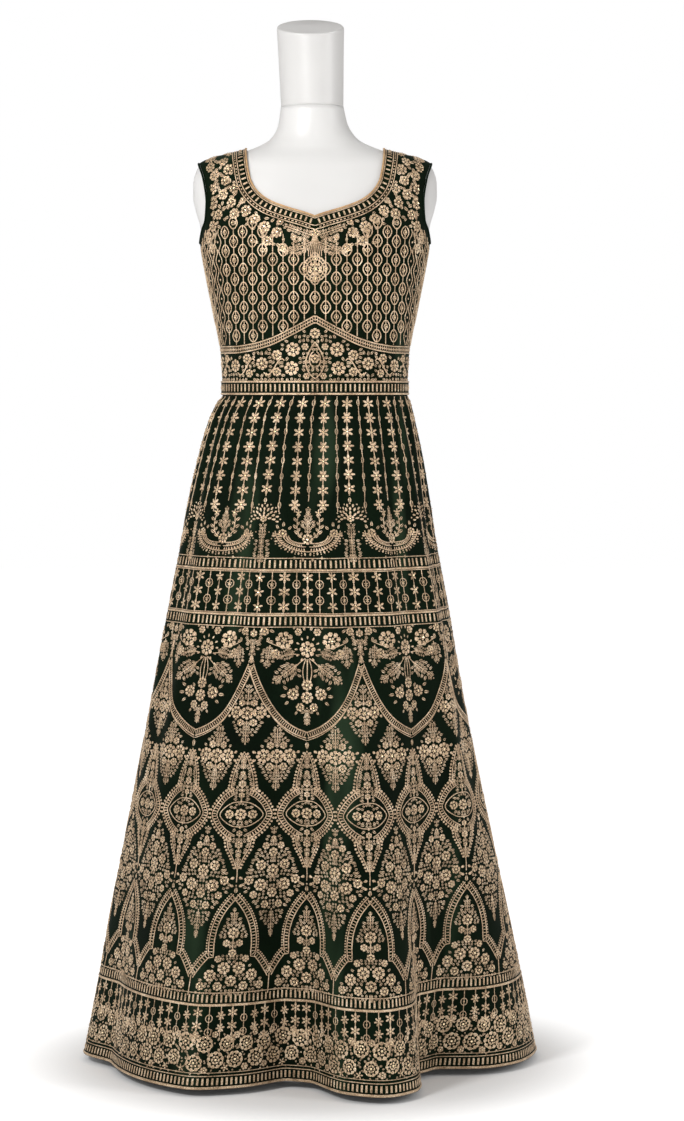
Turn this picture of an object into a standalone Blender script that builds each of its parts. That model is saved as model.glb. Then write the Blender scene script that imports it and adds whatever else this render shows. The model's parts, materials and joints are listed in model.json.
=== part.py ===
"""Anarkali gown, worn by a limbless dress form on a pole stand. Metres, +Z up, the front faces -Y.

The gown is a sleeveless fitted bodice, a band over the waist seam and a floor-length skirt of flared
panels. Every cloth piece is a thin wall. An angle runs round the gown from 0 at the front to 90 degrees
at +X. The origin is on the floor, under the middle of the stand's base.
"""

import math

import bmesh
import bpy
import numpy as np

# Cloth and clearances
FIT = 0.0017
CLOTH = 0.0015
HEM_CLOTH = 0.0026
SEAM_GAP = 0.0003
BAND_GAP = 0.0005
PIPING_RADIUS = 0.0014

# Heights above the floor
BODICE_BOTTOM = 0.9725
UNDERARM = 1.181
BAND_TOP = 0.9830
BAND_BOTTOM = 0.9625
HEM = 0.010
HEM_TURN = 0.045
FORM_BOTTOM = 0.640
NECK_TOP = 1.380

# Stand and neck block
BASE_RADIUS = 0.150
BASE_THICKNESS = 0.008
BASE_ROUNDING = 0.002
POLE_RADIUS = 0.014
BLOCK_TOP = 1.497
BLOCK_SLANT = 0.015
BLOCK_ROUNDING = 0.004

# Skirt panels and the small gathers under the band
PANELS = 10
PANEL_COLUMNS = 12
GATHERS = 30
GATHER_DEPTH = 0.0026
GATHERS_END = 0.62
FOLD_POWER = 1.5

# Mesh fineness
FORM_COLUMNS = 36
FORM_STEP = 0.020
SHOULDER_STEP = 0.0028
BODICE_COLUMNS = 10
ROWS_TO_UNDERARM = 12
ROWS_ABOVE_UNDERARM = 12
BAND_COLUMNS = 30
PIPING_SIDES_LEVEL = 1
AROUND_SAMPLES = 1440

# The form's level sections: half the width, depth in front of and behind the middle, squareness, and how
# far each is moved along X.
TORSO_COLUMNS = ("height", "half_width", "front", "back", "square", "shift")
TORSO = (
    (0.640, 0.1150, 0.088, 0.094, 2.2, 0.0),
    (0.670, 0.1380, 0.098, 0.108, 2.2, 0.0),
    (0.730, 0.1490, 0.105, 0.119, 2.2, 0.0),
    (0.800, 0.1480, 0.106, 0.118, 2.2, 0.0),
    (0.860, 0.1430, 0.103, 0.110, 2.2, 0.0),
    (0.920, 0.1345, 0.0975, 0.099, 2.2, 0.0),
    (0.9725, 0.1305, 0.0945, 0.0940, 2.2, 0.0),
    (0.996, 0.1315, 0.0955, 0.0935, 2.2, 0.0),
    (1.022, 0.1332, 0.0985, 0.0940, 2.2, 0.0),
    (1.050, 0.1375, 0.105, 0.0955, 2.2, 0.0),
    (1.075, 0.1430, 0.113, 0.0975, 2.2, 0.0),
    (1.100, 0.1480, 0.121, 0.0995, 2.2, 0.0),
    (1.125, 0.1530, 0.126, 0.1015, 2.2, 0.0),
    (1.150, 0.1580, 0.1255, 0.1035, 2.2, 0.0),
    (1.181, 0.1632, 0.1200, 0.1060, 2.2, 0.0),
    (1.205, 0.1660, 0.1135, 0.1070, 2.2, 0.0),
    (1.230, 0.1730, 0.1050, 0.1060, 2.2, 0.0),
    (1.250, 0.1768, 0.0970, 0.1025, 2.1, 0.0),
    (1.270, 0.1765, 0.0880, 0.0965, 2.1, 0.0),
    (1.285, 0.1728, 0.0812, 0.0905, 2.0, 0.0),
    (1.294, 0.1676, 0.0770, 0.0856, 2.0, 0.0),
    (1.299, 0.1602, 0.0740, 0.0828, 2.0, 0.0),
    (1.303, 0.1490, 0.0715, 0.0805, 2.0, 0.0),
    (1.309, 0.1265, 0.0670, 0.0757, 2.0, 0.0),
    (1.3165, 0.098, 0.0620, 0.0700, 2.0, 0.0),
    (1.3235, 0.080, 0.0590, 0.0660, 2.0, -0.0004),
    (1.3310, 0.066, 0.0560, 0.0620, 2.0, -0.0010),
    (1.3410, 0.057, 0.0530, 0.0575, 2.0, -0.0018),
    (1.3540, 0.0505, 0.0500, 0.0535, 2.0, -0.0028),
    (1.380, 0.0455, 0.0455, 0.0475, 2.0, -0.0040),
)

# The skirt's level sections inside the cloth, without folds, and how far each is moved along X.
SKIRT_COLUMNS = ("height", "half_width", "front", "back", "shift")
SKIRT = (
    (0.0100, 0.3155, 0.235, 0.250, -0.0160),
    (0.1145, 0.2985, 0.226, 0.240, -0.0135),
    (0.2305, 0.2785, 0.213, 0.226, -0.0130),
    (0.3465, 0.2570, 0.200, 0.211, -0.0120),
    (0.5205, 0.2245, 0.177, 0.187, -0.0115),
    (0.6655, 0.1975, 0.156, 0.164, -0.0100),
    (0.7525, 0.1805, 0.141, 0.148, -0.0100),
    (0.8105, 0.1710, 0.131, 0.137, -0.0090),
    (0.8685, 0.1600, 0.120, 0.125, -0.0070),
    (0.9265, 0.1463, 0.1075, 0.110, -0.0045),
    (0.9500, 0.1390, 0.1010, 0.103, -0.0020),
    (0.9610, 0.1345, 0.0980, 0.098, 0.0),
)
SKIRT_ROWS = (0.9612, 0.9555, 0.930, 0.890, 0.830, 0.750, 0.650, 0.545, 0.440, 0.340, 0.240, 0.150, 0.090, HEM_TURN, HEM)

# The skirt's long folds: angle in degrees, how far from the axis the hem is there, and where the fold starts.
FOLD_COLUMNS = ("angle", "reach", "start")
FOLDS = (
    (-168, 0.215, 0.68),
    (-148, 0.300, 0.72),
    (-128, 0.255, 0.66),
    (-108, 0.325, 0.62),
    (-90, 0.333, 0.60),
    (-76, 0.297, 0.60),
    (-60, 0.298, 0.66),
    (-38, 0.293, 0.76),
    (-26, 0.250, 0.76),
    (-12, 0.185, 0.74),
    (-2, 0.192, 0.74),
    (10, 0.270, 0.78),
    (20, 0.298, 0.80),
    (28, 0.285, 0.74),
    (46, 0.200, 0.62),
    (56, 0.200, 0.60),
    (68, 0.268, 0.62),
    (80, 0.303, 0.62),
    (98, 0.322, 0.60),
    (112, 0.290, 0.62),
    (130, 0.300, 0.68),
    (150, 0.225, 0.72),
    (172, 0.290, 0.74),
)

# Edges on the form's surface, as half the width across and the height.
EDGE_COLUMNS = ("across", "height")
FRONT_NECKLINE = (
    (0.0000, 1.2130),
    (0.0141, 1.2180),
    (0.0404, 1.2262),
    (0.0665, 1.2370),
    (0.0825, 1.2500),
    (0.0935, 1.2690),
    (0.0975, 1.2880),
    (0.0998, 1.3040),
    (0.1010, 1.3158),
)
BACK_NECKLINE = (
    (0.0000, 1.2050),
    (0.0300, 1.2075),
    (0.0600, 1.2190),
    (0.0825, 1.2400),
    (0.0940, 1.2650),
    (0.0980, 1.2860),
    (0.1000, 1.3030),
    (0.1010, 1.3158),
)
FRONT_ARMHOLE = (
    (0.1632, UNDERARM),
    (0.1590, 1.1985),
    (0.1535, 1.2140),
    (0.1520, 1.2390),
    (0.1560, 1.2680),
    (0.1615, 1.2870),
    (0.1655, 1.2962),
)
BACK_ARMHOLE = (
    (0.1632, UNDERARM),
    (0.1605, 1.1985),
    (0.1565, 1.2140),
    (0.1550, 1.2390),
    (0.1580, 1.2680),
    (0.1630, 1.2870),
    (0.1655, 1.2962),
)

# Name: colour, roughness, metallic
MATERIALS = {
    "bottle_green_net": ((0.012, 0.035, 0.020), 0.75, 0.0),
    "antique_gold_border": ((0.46, 0.30, 0.15), 0.50, 0.45),
    "bottle_green_piping": ((0.010, 0.028, 0.016), 0.60, 0.0),
    "white_form": ((0.83, 0.81, 0.79), 0.35, 0.0),
    "white_steel": ((0.78, 0.77, 0.75), 0.40, 0.2),
}


def clear_scene():
    for obj in list(bpy.data.objects):
        bpy.data.objects.remove(obj)


def new_collection(name):
    collection = bpy.data.collections.new(name)
    bpy.context.scene.collection.children.link(collection)
    return collection


def material(name):
    found = bpy.data.materials.get(name)
    if found:
        return found
    colour, roughness, metallic = MATERIALS[name]
    made = bpy.data.materials.new(name)
    made.use_nodes = True
    shader = made.node_tree.nodes["Principled BSDF"]
    shader.inputs["Base Color"].default_value = (*colour, 1.0)
    shader.inputs["Roughness"].default_value = roughness
    shader.inputs["Metallic"].default_value = metallic
    return made


def smooth_curve(at, xs, ys):
    """Reads a curve through the points (xs, ys) that never overshoots them."""
    xs, ys = np.asarray(xs, float), np.asarray(ys, float)
    step = np.diff(xs)
    slope = np.diff(ys) / step
    inner = np.zeros(len(xs))
    same = slope[:-1] * slope[1:] > 0
    weight_a, weight_b = 2 * step[1:] + step[:-1], step[1:] + 2 * step[:-1]
    safe = np.where(same, slope[:-1], 1.0), np.where(same, slope[1:], 1.0)
    inner[1:-1] = np.where(same, (weight_a + weight_b) / (weight_a / safe[0] + weight_b / safe[1]), 0.0)
    inner[0], inner[-1] = slope[0], slope[-1]
    at = np.clip(np.asarray(at, float), xs[0], xs[-1])
    k = np.clip(np.searchsorted(xs, at, side="right") - 1, 0, len(xs) - 2)
    t = (at - xs[k]) / step[k]
    return (
        ys[k] * (1 + 2 * t) * (1 - t) ** 2
        + ys[k + 1] * t**2 * (3 - 2 * t)
        + step[k] * inner[k] * t * (1 - t) ** 2
        - step[k] * inner[k + 1] * t**2 * (1 - t)
    )


def column(table, names, name):
    return [row[names.index(name)] for row in table]


def section(table, names, height):
    """The values of a table of level sections at any height, by name."""
    heights = column(table, names, "height")
    return {name: smooth_curve(height, heights, column(table, names, name)) for name in names[1:]}


def ring_point(angle, half_width, front, back, square):
    """A point of a rounded level section. Angle 0 is the front."""
    across, along = np.sin(angle), np.cos(angle)
    depth = np.where(along > 0, front, back)
    x = half_width * np.sign(across) * np.abs(across) ** (2 / square)
    y = -depth * np.sign(along) * np.abs(along) ** (2 / square)
    return x, y


def torso(angle, height):
    """Points of the form's surface."""
    s = section(TORSO, TORSO_COLUMNS, height)
    x, y = ring_point(angle, s["half_width"], s["front"], s["back"], s["square"])
    return np.stack(np.broadcast_arrays(x + s["shift"], y, height), axis=-1)


def plain_skirt(angle, height):
    """X and Y of the skirt without folds."""
    s = section(SKIRT, SKIRT_COLUMNS, height)
    x, y = ring_point(angle, s["half_width"], s["front"], s["back"], 2.0)
    return x + s["shift"], y


def direction(x, y):
    """The angle in degrees of a point as seen from the axis, 0 in front."""
    return np.degrees(np.arctan2(x, -y))


def folds():
    """The fold table made into even steps of direction: how far the hem stands out, and where it starts."""
    degrees = np.arange(-180.0, 181.0, 1.0)
    x, y = plain_skirt(np.radians(np.arange(-200.0, 201.0)), HEM)
    seen = np.unwrap(direction(x, y), period=360)
    plain = np.interp(degrees, seen - 360 * np.round(seen[200] / 360), np.hypot(x, y))
    angles = np.array(column(FOLDS, FOLD_COLUMNS, "angle"), float)
    around = np.concatenate([angles[-2:] - 360, angles, angles[:2] + 360])
    reach, start = (
        smooth_curve(degrees, around, np.concatenate([v[-2:], v, v[:2]]))
        for v in (np.array(column(FOLDS, FOLD_COLUMNS, name)) for name in ("reach", "start"))
    )
    return degrees, reach - plain, start


FOLD_SHAPE = folds()


def skirt(angle, height):
    """Points of the skirt's inner face. Under the band it follows the bodice."""
    x, y = plain_skirt(angle, height)
    away = np.hypot(x, y)
    degrees, out, start = FOLD_SHAPE
    seen = direction(x, y)
    out, start = np.interp(seen, degrees, out), np.interp(seen, degrees, start)
    long_folds = out * np.clip((start - height) / (start - HEM), 0, 1) ** FOLD_POWER
    below_band = np.clip((BAND_BOTTOM - height) / 0.03, 0, 1)
    fading = np.clip((height - GATHERS_END) / (BAND_BOTTOM - GATHERS_END), 0, 1)
    offset = long_folds + GATHER_DEPTH * below_band * fading * np.cos(GATHERS * angle)
    hanging = np.stack(np.broadcast_arrays(x * (1 + offset / away), y * (1 + offset / away), height), axis=-1)
    fitted = raised(torso, angle, np.maximum(height, BAND_BOTTOM - 0.002), FIT)
    fitted[..., 2] = height
    part_hanging = np.clip((BAND_BOTTOM - 0.001 - height) / 0.006, 0, 1)[..., None]
    return fitted + (hanging - fitted) * part_hanging


def cloth_angle(share, height):
    """The angle at a share of the way round the skirt's cloth at one height, from the front towards +X."""
    around = np.linspace(0, 2 * math.pi, AROUND_SAMPLES + 1)
    points = skirt(around, np.full_like(around, height))
    run = np.concatenate([[0], np.cumsum(np.hypot(*np.diff(points[:, :2], axis=0).T))])
    whole = np.floor(share)
    return np.interp((share - whole) * run[-1], run, around) + 2 * math.pi * whole


def normals(surface, angle, height):
    """The outward unit normals of a surface."""
    step = 1e-4
    along = surface(angle + step, height) - surface(angle - step, height)
    up = surface(angle, height + step) - surface(angle, height - step)
    across = np.cross(along, up)
    return across / np.linalg.norm(across, axis=-1, keepdims=True)


def raised(surface, angle, height, out):
    """Points of a surface moved out along its normals."""
    return surface(angle, height) + normals(surface, angle, height) * np.asarray(out)[..., None]


def finish(name, mesh, collection, look):
    obj = bpy.data.objects.new(name, mesh)
    obj.data.materials.append(material(look))
    collection.objects.link(obj)
    return obj


def mesh_from(name, points, faces):
    mesh = bpy.data.meshes.new(name)
    mesh.from_pydata([tuple(p) for p in points], [], faces)
    mesh.update()
    mesh.shade_smooth()
    mesh.set_sharp_from_angle(angle=math.radians(40))
    return mesh


def wall(name, inner, outer, collection, look, open_at_plane=False):
    """A cloth wall between two grids of points. A side that lies on the plane X = 0 can stay open, to be mirrored."""
    rows, columns = inner.shape[:2]
    count = rows * columns
    points = np.concatenate([inner.reshape(-1, 3), outer.reshape(-1, 3)])
    index = np.arange(count).reshape(rows, columns)
    faces = []
    for r in range(rows - 1):
        for c in range(columns - 1):
            a, b, d, e = index[r, c], index[r, c + 1], index[r + 1, c + 1], index[r + 1, c]
            faces += [(a + count, b + count, d + count, e + count), (a, e, d, b)]
    border = [*index[0, :-1], *index[:-1, -1], *index[-1, :0:-1], *index[:0:-1, 0]]
    for a, b in zip(border, border[1:] + border[:1]):
        on_plane = max(abs(points[a][0]), abs(points[b][0])) < 1e-6
        if not (open_at_plane and on_plane):
            faces.append((a, b, b + count, a + count))
    obj = finish(name, mesh_from(name, points, faces), collection, look)
    if open_at_plane:
        mirror = obj.modifiers.new("Mirror", "MIRROR")
        mirror.use_axis[0] = True
        mirror.use_mirror_merge = True
        mirror.merge_threshold = 0.00001
    return obj


def loft(name, rings, collection, look):
    """A solid through closed rings of points, with flat ends."""
    count, sides = rings.shape[:2]
    faces = [tuple(range(sides))[::-1], tuple(range((count - 1) * sides, count * sides))]
    for r in range(count - 1):
        for c in range(sides):
            d = (c + 1) % sides
            faces.append((r * sides + c, r * sides + d, (r + 1) * sides + d, (r + 1) * sides + c))
    return finish(name, mesh_from(name, rings.reshape(-1, 3), faces), collection, look)


def edge_on_torso(edge, rear):
    """An edge line of a bodice panel as (angle, height) in close steps."""
    t = np.linspace(0, len(edge) - 1, 40 * len(edge))
    place = np.arange(len(edge))
    across = smooth_curve(t, place, column(edge, EDGE_COLUMNS, "across"))
    height = smooth_curve(t, place, column(edge, EDGE_COLUMNS, "height"))
    s = section(TORSO, TORSO_COLUMNS, height)
    share = np.clip(across / s["half_width"], 0, 1) ** (s["square"] / 2)
    angle = np.arcsin(share)
    return np.stack([math.pi - angle if rear else angle, height], axis=-1)


def spaced(line, count):
    """The line again as count steps of equal length on the form."""
    points = torso(line[:, 0], line[:, 1])
    run = np.concatenate([[0], np.cumsum(np.linalg.norm(np.diff(points, axis=0), axis=1))])
    at = np.linspace(0, run[-1], count + 1)
    return np.stack([np.interp(at, run, line[:, k]) for k in range(2)], axis=-1)


def bodice_edge(edge, rear):
    """The line of a neckline or armhole in the steps that the panel and its piping share."""
    line = edge_on_torso(edge, rear)
    line[-1, 0] = math.pi / 2
    if edge in (FRONT_ARMHOLE, BACK_ARMHOLE):
        line[0, 0] = math.pi / 2
    return spaced(line, ROWS_ABOVE_UNDERARM)


def bodice_grid(neckline, armhole, rear):
    """Angles and heights over one half of a bodice panel, from its middle or neckline to its side or armhole."""
    middle, side = (math.pi, math.pi / 2) if rear else (0.0, math.pi / 2)
    neck, arm = bodice_edge(neckline, rear), bodice_edge(armhole, rear)
    low_inner = np.array([(middle, z) for z in np.linspace(BODICE_BOTTOM, neck[0, 1], ROWS_TO_UNDERARM + 1)])
    low_outer = np.array([(side, z) for z in np.linspace(BODICE_BOTTOM, UNDERARM, ROWS_TO_UNDERARM + 1)])
    inner, outer = np.concatenate([low_inner, neck[1:]]), np.concatenate([low_outer, arm[1:]])
    share = np.linspace(0, 1, BODICE_COLUMNS + 1)[None, :, None]
    grid = inner[:, None] * (1 - share) + outer[:, None] * share
    return grid[..., 0], grid[..., 1]


def make_bodice(collection):
    for name, neckline, armhole, rear in (
        ("bodice_front", FRONT_NECKLINE, FRONT_ARMHOLE, False),
        ("bodice_back", BACK_NECKLINE, BACK_ARMHOLE, True),
    ):
        angle, height = bodice_grid(neckline, armhole, rear)
        inner, outer = (raised(torso, angle, height, out) for out in (FIT, FIT + CLOTH))
        towards_panel = 1 if rear else -1
        for face in (inner, outer):
            face[:, -1, 1] += towards_panel * SEAM_GAP / 2
            face[-1, :-1, 1] += towards_panel * SEAM_GAP / 2
            middle = np.abs(face[:, 0, 0]) < 1e-4
            face[middle, 0, 0] = 0.0
        if rear:
            inner, outer = inner[:, ::-1], outer[:, ::-1]
        wall(name, inner, outer, collection, "bottle_green_net", open_at_plane=True)


def make_band(collection):
    """The embroidered band lies over the waist seam, in a front and a back half."""
    heights = np.array([BAND_BOTTOM, BODICE_BOTTOM, BAND_TOP])[:, None]
    out = FIT + CLOTH + BAND_GAP
    for name, start in (("waist_band_front", -math.pi / 2), ("waist_band_back", math.pi / 2)):
        angle = np.linspace(start, start + math.pi, BAND_COLUMNS + 1)[None, :]
        angle, height = np.broadcast_arrays(angle, heights)
        inner, outer = (raised(torso, angle, height, o) for o in (out, out + CLOTH))
        towards_panel = -1 if start < 0 else 1
        for face in (inner, outer):
            face[:, [0, -1], 1] += towards_panel * SEAM_GAP / 2
        wall(name, inner, outer, collection, "antique_gold_border")


def make_skirt(collection):
    """Flared panels side by side, sewn to the bodice under the band. The hem is turned up, so it is thicker."""
    heights = np.array([BODICE_BOTTOM - SEAM_GAP, *SKIRT_ROWS])[::-1]
    thickness = smooth_curve(heights, [HEM, HEM_TURN, 1.0], [HEM_CLOTH, CLOTH, CLOTH])[:, None]
    ring = skirt(np.linspace(0, 2 * math.pi, AROUND_SAMPLES + 1)[None, :], heights[:, None])
    length = np.linalg.norm(np.diff(ring[..., :2], axis=1), axis=-1).sum(axis=1)
    for n in range(PANELS):
        angle = []
        for z, around in zip(heights, length):
            share = (n + np.linspace(-0.5, 0.5, PANEL_COLUMNS + 1)) / PANELS
            share[[0, -1]] += SEAM_GAP / 2 / around * np.array([1, -1])
            angle.append(cloth_angle(share, z))
        angle = np.array(angle)
        height = np.broadcast_to(heights[:, None], angle.shape)
        inner = skirt(angle, height)
        outer = raised(skirt, angle, height, np.broadcast_to(thickness, angle.shape))
        outer[..., 2] = height
        wall(f"skirt_panel_{n + 1:02d}", inner, outer, collection, "bottle_green_net")


def piping(name, line, collection, look):
    """A closed cord of cloth just past the edge of the bodice, resting on the form."""
    curve = bpy.data.curves.new(name, "CURVE")
    curve.dimensions = "3D"
    curve.bevel_depth = PIPING_RADIUS
    curve.bevel_resolution = PIPING_SIDES_LEVEL
    spline = curve.splines.new("POLY")
    spline.points.add(len(line) - 1)
    for point, place in zip(spline.points, line):
        point.co = (*place, 1.0)
    spline.use_cyclic_u = True
    obj = bpy.data.objects.new(name, curve)
    curve.materials.append(material(look))
    collection.objects.link(obj)
    return obj


def beside(edge, away_from_panel):
    """Points next to an edge line on the form, clear of the panel and of the form."""
    points = raised(torso, edge[:, 0], edge[:, 1], SEAM_GAP + PIPING_RADIUS + FIT)
    up = normals(torso, edge[:, 0], edge[:, 1])
    along = np.gradient(points, axis=0)
    side = np.cross(along, up)
    side /= np.linalg.norm(side, axis=1, keepdims=True)
    return points + side * (PIPING_RADIUS + SEAM_GAP) * away_from_panel


def make_piping(collection):
    front, back = bodice_edge(FRONT_NECKLINE, False), bodice_edge(BACK_NECKLINE, True)
    right = np.concatenate([beside(front, -1), beside(back, 1)[-2::-1]])
    left = right[-2:0:-1] * (-1, 1, 1)
    piping("neck_piping", np.concatenate([right, left]), collection, "antique_gold_border")
    front, back = bodice_edge(FRONT_ARMHOLE, False), bodice_edge(BACK_ARMHOLE, True)
    loop = np.concatenate([beside(front, 1)[1:], beside(back, -1)[-2:0:-1]])
    for name, side in (("armhole_piping_right", 1), ("armhole_piping_left", -1)):
        piping(name, loop * (side, 1, 1), collection, "bottle_green_piping")


def make_form(collection):
    """The limbless form: a torso with rounded shoulders, and a tall neck block with a slanted top."""
    angle = np.linspace(0, 2 * math.pi, FORM_COLUMNS, endpoint=False)[None, :]
    table = column(TORSO, TORSO_COLUMNS, "height")
    heights = [table[0]]
    for low, high in zip(table, table[1:]):
        step = SHOULDER_STEP if 1.284 < low < 1.31 else FORM_STEP
        steps = 1 if high < BAND_BOTTOM else max(1, round((high - low) / step))
        heights += list(np.linspace(low, high, steps + 1)[1:])
    loft("form_torso", torso(angle, np.array(heights)[:, None]), collection, "white_form")
    low, high = NECK_TOP + SEAM_GAP, BLOCK_TOP
    rows = (
        (low, 0.0452, -0.0040),
        (1.415, 0.0462, -0.0048),
        (1.455, 0.0474, -0.0057),
        (high - BLOCK_ROUNDING, 0.0488, -0.0066),
        (high, 0.0460, -0.0067),
    )
    rings = []
    for height, radius, shift in rows:
        slant = BLOCK_SLANT * (height - low) / (high - low)
        x, y = radius * np.sin(angle[0]), -radius * np.cos(angle[0])
        rings.append(np.stack([x + shift, y, height + slant * y / radius], axis=-1))
    loft("form_neck_block", np.array(rings), collection, "white_form")


def make_stand(collection):
    bpy.ops.mesh.primitive_cylinder_add(
        vertices=40, radius=BASE_RADIUS, depth=BASE_THICKNESS, location=(0, 0, BASE_THICKNESS / 2)
    )
    base = bpy.context.object
    rounding = base.modifiers.new("Bevel", "BEVEL")
    rounding.width = BASE_ROUNDING
    rounding.segments = 1
    rounding.limit_method = "ANGLE"
    low, high = BASE_THICKNESS + SEAM_GAP, FORM_BOTTOM - SEAM_GAP
    bpy.ops.mesh.primitive_cylinder_add(
        vertices=20, radius=POLE_RADIUS, depth=high - low, location=(0, 0, (low + high) / 2)
    )
    pole = bpy.context.object
    for obj, name in ((base, "stand_base"), (pole, "stand_pole")):
        obj.name = obj.data.name = name
        obj.data.shade_smooth()
        obj.data.set_sharp_from_angle(angle=math.radians(40))
        obj.data.materials.append(material("white_steel"))
        for holder in list(obj.users_collection):
            holder.objects.unlink(obj)
        collection.objects.link(obj)


def main():
    clear_scene()
    collection = new_collection("anarkali_gown")
    make_bodice(collection)
    make_band(collection)
    make_skirt(collection)
    make_piping(collection)
    make_form(collection)
    make_stand(collection)


main()
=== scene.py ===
"""The looks of an anarkali gown on a limbless dress form.

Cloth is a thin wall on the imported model's form. The embroidery is raised thread, drawn flat in millimetres
as small motifs and laid over the cloth. Metres, +Z up, the front faces -Y.
"""

import json
import math

import bpy
import numpy as np
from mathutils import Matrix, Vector

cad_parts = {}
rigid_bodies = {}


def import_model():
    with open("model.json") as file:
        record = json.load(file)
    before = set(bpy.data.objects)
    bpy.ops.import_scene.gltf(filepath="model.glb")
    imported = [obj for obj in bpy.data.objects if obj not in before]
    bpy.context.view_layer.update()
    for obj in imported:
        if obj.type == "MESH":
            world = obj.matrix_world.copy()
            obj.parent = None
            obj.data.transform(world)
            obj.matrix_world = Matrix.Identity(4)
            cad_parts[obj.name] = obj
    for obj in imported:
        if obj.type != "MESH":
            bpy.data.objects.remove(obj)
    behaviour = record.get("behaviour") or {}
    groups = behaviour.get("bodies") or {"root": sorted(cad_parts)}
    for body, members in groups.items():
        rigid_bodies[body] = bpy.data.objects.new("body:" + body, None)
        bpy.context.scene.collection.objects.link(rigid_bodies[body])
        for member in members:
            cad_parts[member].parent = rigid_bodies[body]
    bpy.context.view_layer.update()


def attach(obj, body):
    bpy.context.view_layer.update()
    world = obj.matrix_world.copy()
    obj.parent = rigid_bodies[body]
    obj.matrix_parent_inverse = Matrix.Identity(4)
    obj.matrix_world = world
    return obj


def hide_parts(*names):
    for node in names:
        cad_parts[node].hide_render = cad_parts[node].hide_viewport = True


# Cloth and clearances
FIT = 0.0017
CLOTH = 0.0015
HEM_CLOTH = 0.0026
SEAM_GAP = 0.0003
BAND_GAP = 0.0005
PIPING_RADIUS = 0.0014

# Heights above the floor
BODICE_BOTTOM = 0.9725
UNDERARM = 1.181
BAND_TOP = 0.9830
BAND_BOTTOM = 0.9625
BAND_MIDDLE = 0.973
BAND_WORK = 0.9650
HEM = 0.010
HEM_TURN = 0.045
NECK_TOP = 1.380

BLOCK_TOP = 1.497
BLOCK_SLANT = 0.015
BLOCK_ROUNDING = 0.004

# Skirt panels and the small gathers under the band
PANELS = 10
GATHERS = 30
GATHER_DEPTH = 0.0026
GATHERS_END = 0.62
FOLD_POWER = 1.5

# Fineness of the surfaces and of the cloth meshes
AROUND_SAMPLES = 1440
STEP = 1e-4
SKIRT_COLUMNS_ROUND = 300
SKIRT_ROW_STEP = 0.0085
BODICE_ROWS_LOW, BODICE_ROWS_HIGH, BODICE_COLUMNS = 64, 56, 44
BAND_ROWS, BAND_COLUMNS = 9, 240
PIPING_STEPS = 60
CORD_SIDES = 10

# Cloth measures of the waist band's weave, once round
BAND_WEAVE = 0.72

# Thread work is drawn in millimetres. Its edges sink into the cloth, and upright lengths follow the skirt's slope.
MM = 0.001
THREAD_SINK = -0.25
SLOPE = 0.965
WORK_TOP = 1.3155
FORM_REACH = 1.3168
SEAM_MARGIN = 0.004
FAR = 1e9
BATCH = 4000

# The photograph's size, the pixel that the camera's axis meets, and the camera
WIDTH, HEIGHT = 684, 1121
AXIS_X, AXIS_Y = 315, 390
LENS = 97.24
CAMERA_HEIGHT = 0.97
CAMERA_DISTANCE = 4.39

# The form's level sections: half the width, depth in front of and behind the middle, squareness, and how
# far each is moved along X.
TORSO_COLUMNS = ("height", "half_width", "front", "back", "square", "shift")
TORSO = (
    (0.640, 0.1150, 0.088, 0.094, 2.2, 0.0),
    (0.670, 0.1380, 0.098, 0.108, 2.2, 0.0),
    (0.730, 0.1490, 0.105, 0.119, 2.2, 0.0),
    (0.800, 0.1480, 0.106, 0.118, 2.2, 0.0),
    (0.860, 0.1430, 0.103, 0.110, 2.2, 0.0),
    (0.920, 0.1345, 0.0975, 0.099, 2.2, 0.0),
    (0.9725, 0.1305, 0.0945, 0.0940, 2.2, 0.0),
    (0.996, 0.1315, 0.0955, 0.0935, 2.2, 0.0),
    (1.022, 0.1332, 0.0985, 0.0940, 2.2, 0.0),
    (1.050, 0.1375, 0.105, 0.0955, 2.2, 0.0),
    (1.075, 0.1430, 0.113, 0.0975, 2.2, 0.0),
    (1.100, 0.1480, 0.121, 0.0995, 2.2, 0.0),
    (1.125, 0.1530, 0.126, 0.1015, 2.2, 0.0),
    (1.150, 0.1580, 0.1255, 0.1035, 2.2, 0.0),
    (1.181, 0.1632, 0.1200, 0.1060, 2.2, 0.0),
    (1.205, 0.1660, 0.1135, 0.1070, 2.2, 0.0),
    (1.230, 0.1730, 0.1050, 0.1060, 2.2, 0.0),
    (1.250, 0.1768, 0.0970, 0.1025, 2.1, 0.0),
    (1.270, 0.1765, 0.0880, 0.0965, 2.1, 0.0),
    (1.285, 0.1728, 0.0812, 0.0905, 2.0, 0.0),
    (1.294, 0.1676, 0.0770, 0.0856, 2.0, 0.0),
    (1.299, 0.1602, 0.0740, 0.0828, 2.0, 0.0),
    (1.303, 0.1490, 0.0715, 0.0805, 2.0, 0.0),
    (1.309, 0.1265, 0.0670, 0.0757, 2.0, 0.0),
    (1.3165, 0.098, 0.0620, 0.0700, 2.0, 0.0),
    (1.3235, 0.080, 0.0590, 0.0660, 2.0, -0.0004),
    (1.3310, 0.066, 0.0560, 0.0620, 2.0, -0.0010),
    (1.3410, 0.057, 0.0530, 0.0575, 2.0, -0.0018),
    (1.3540, 0.0505, 0.0500, 0.0535, 2.0, -0.0028),
    (1.380, 0.0455, 0.0455, 0.0475, 2.0, -0.0040),
)

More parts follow.
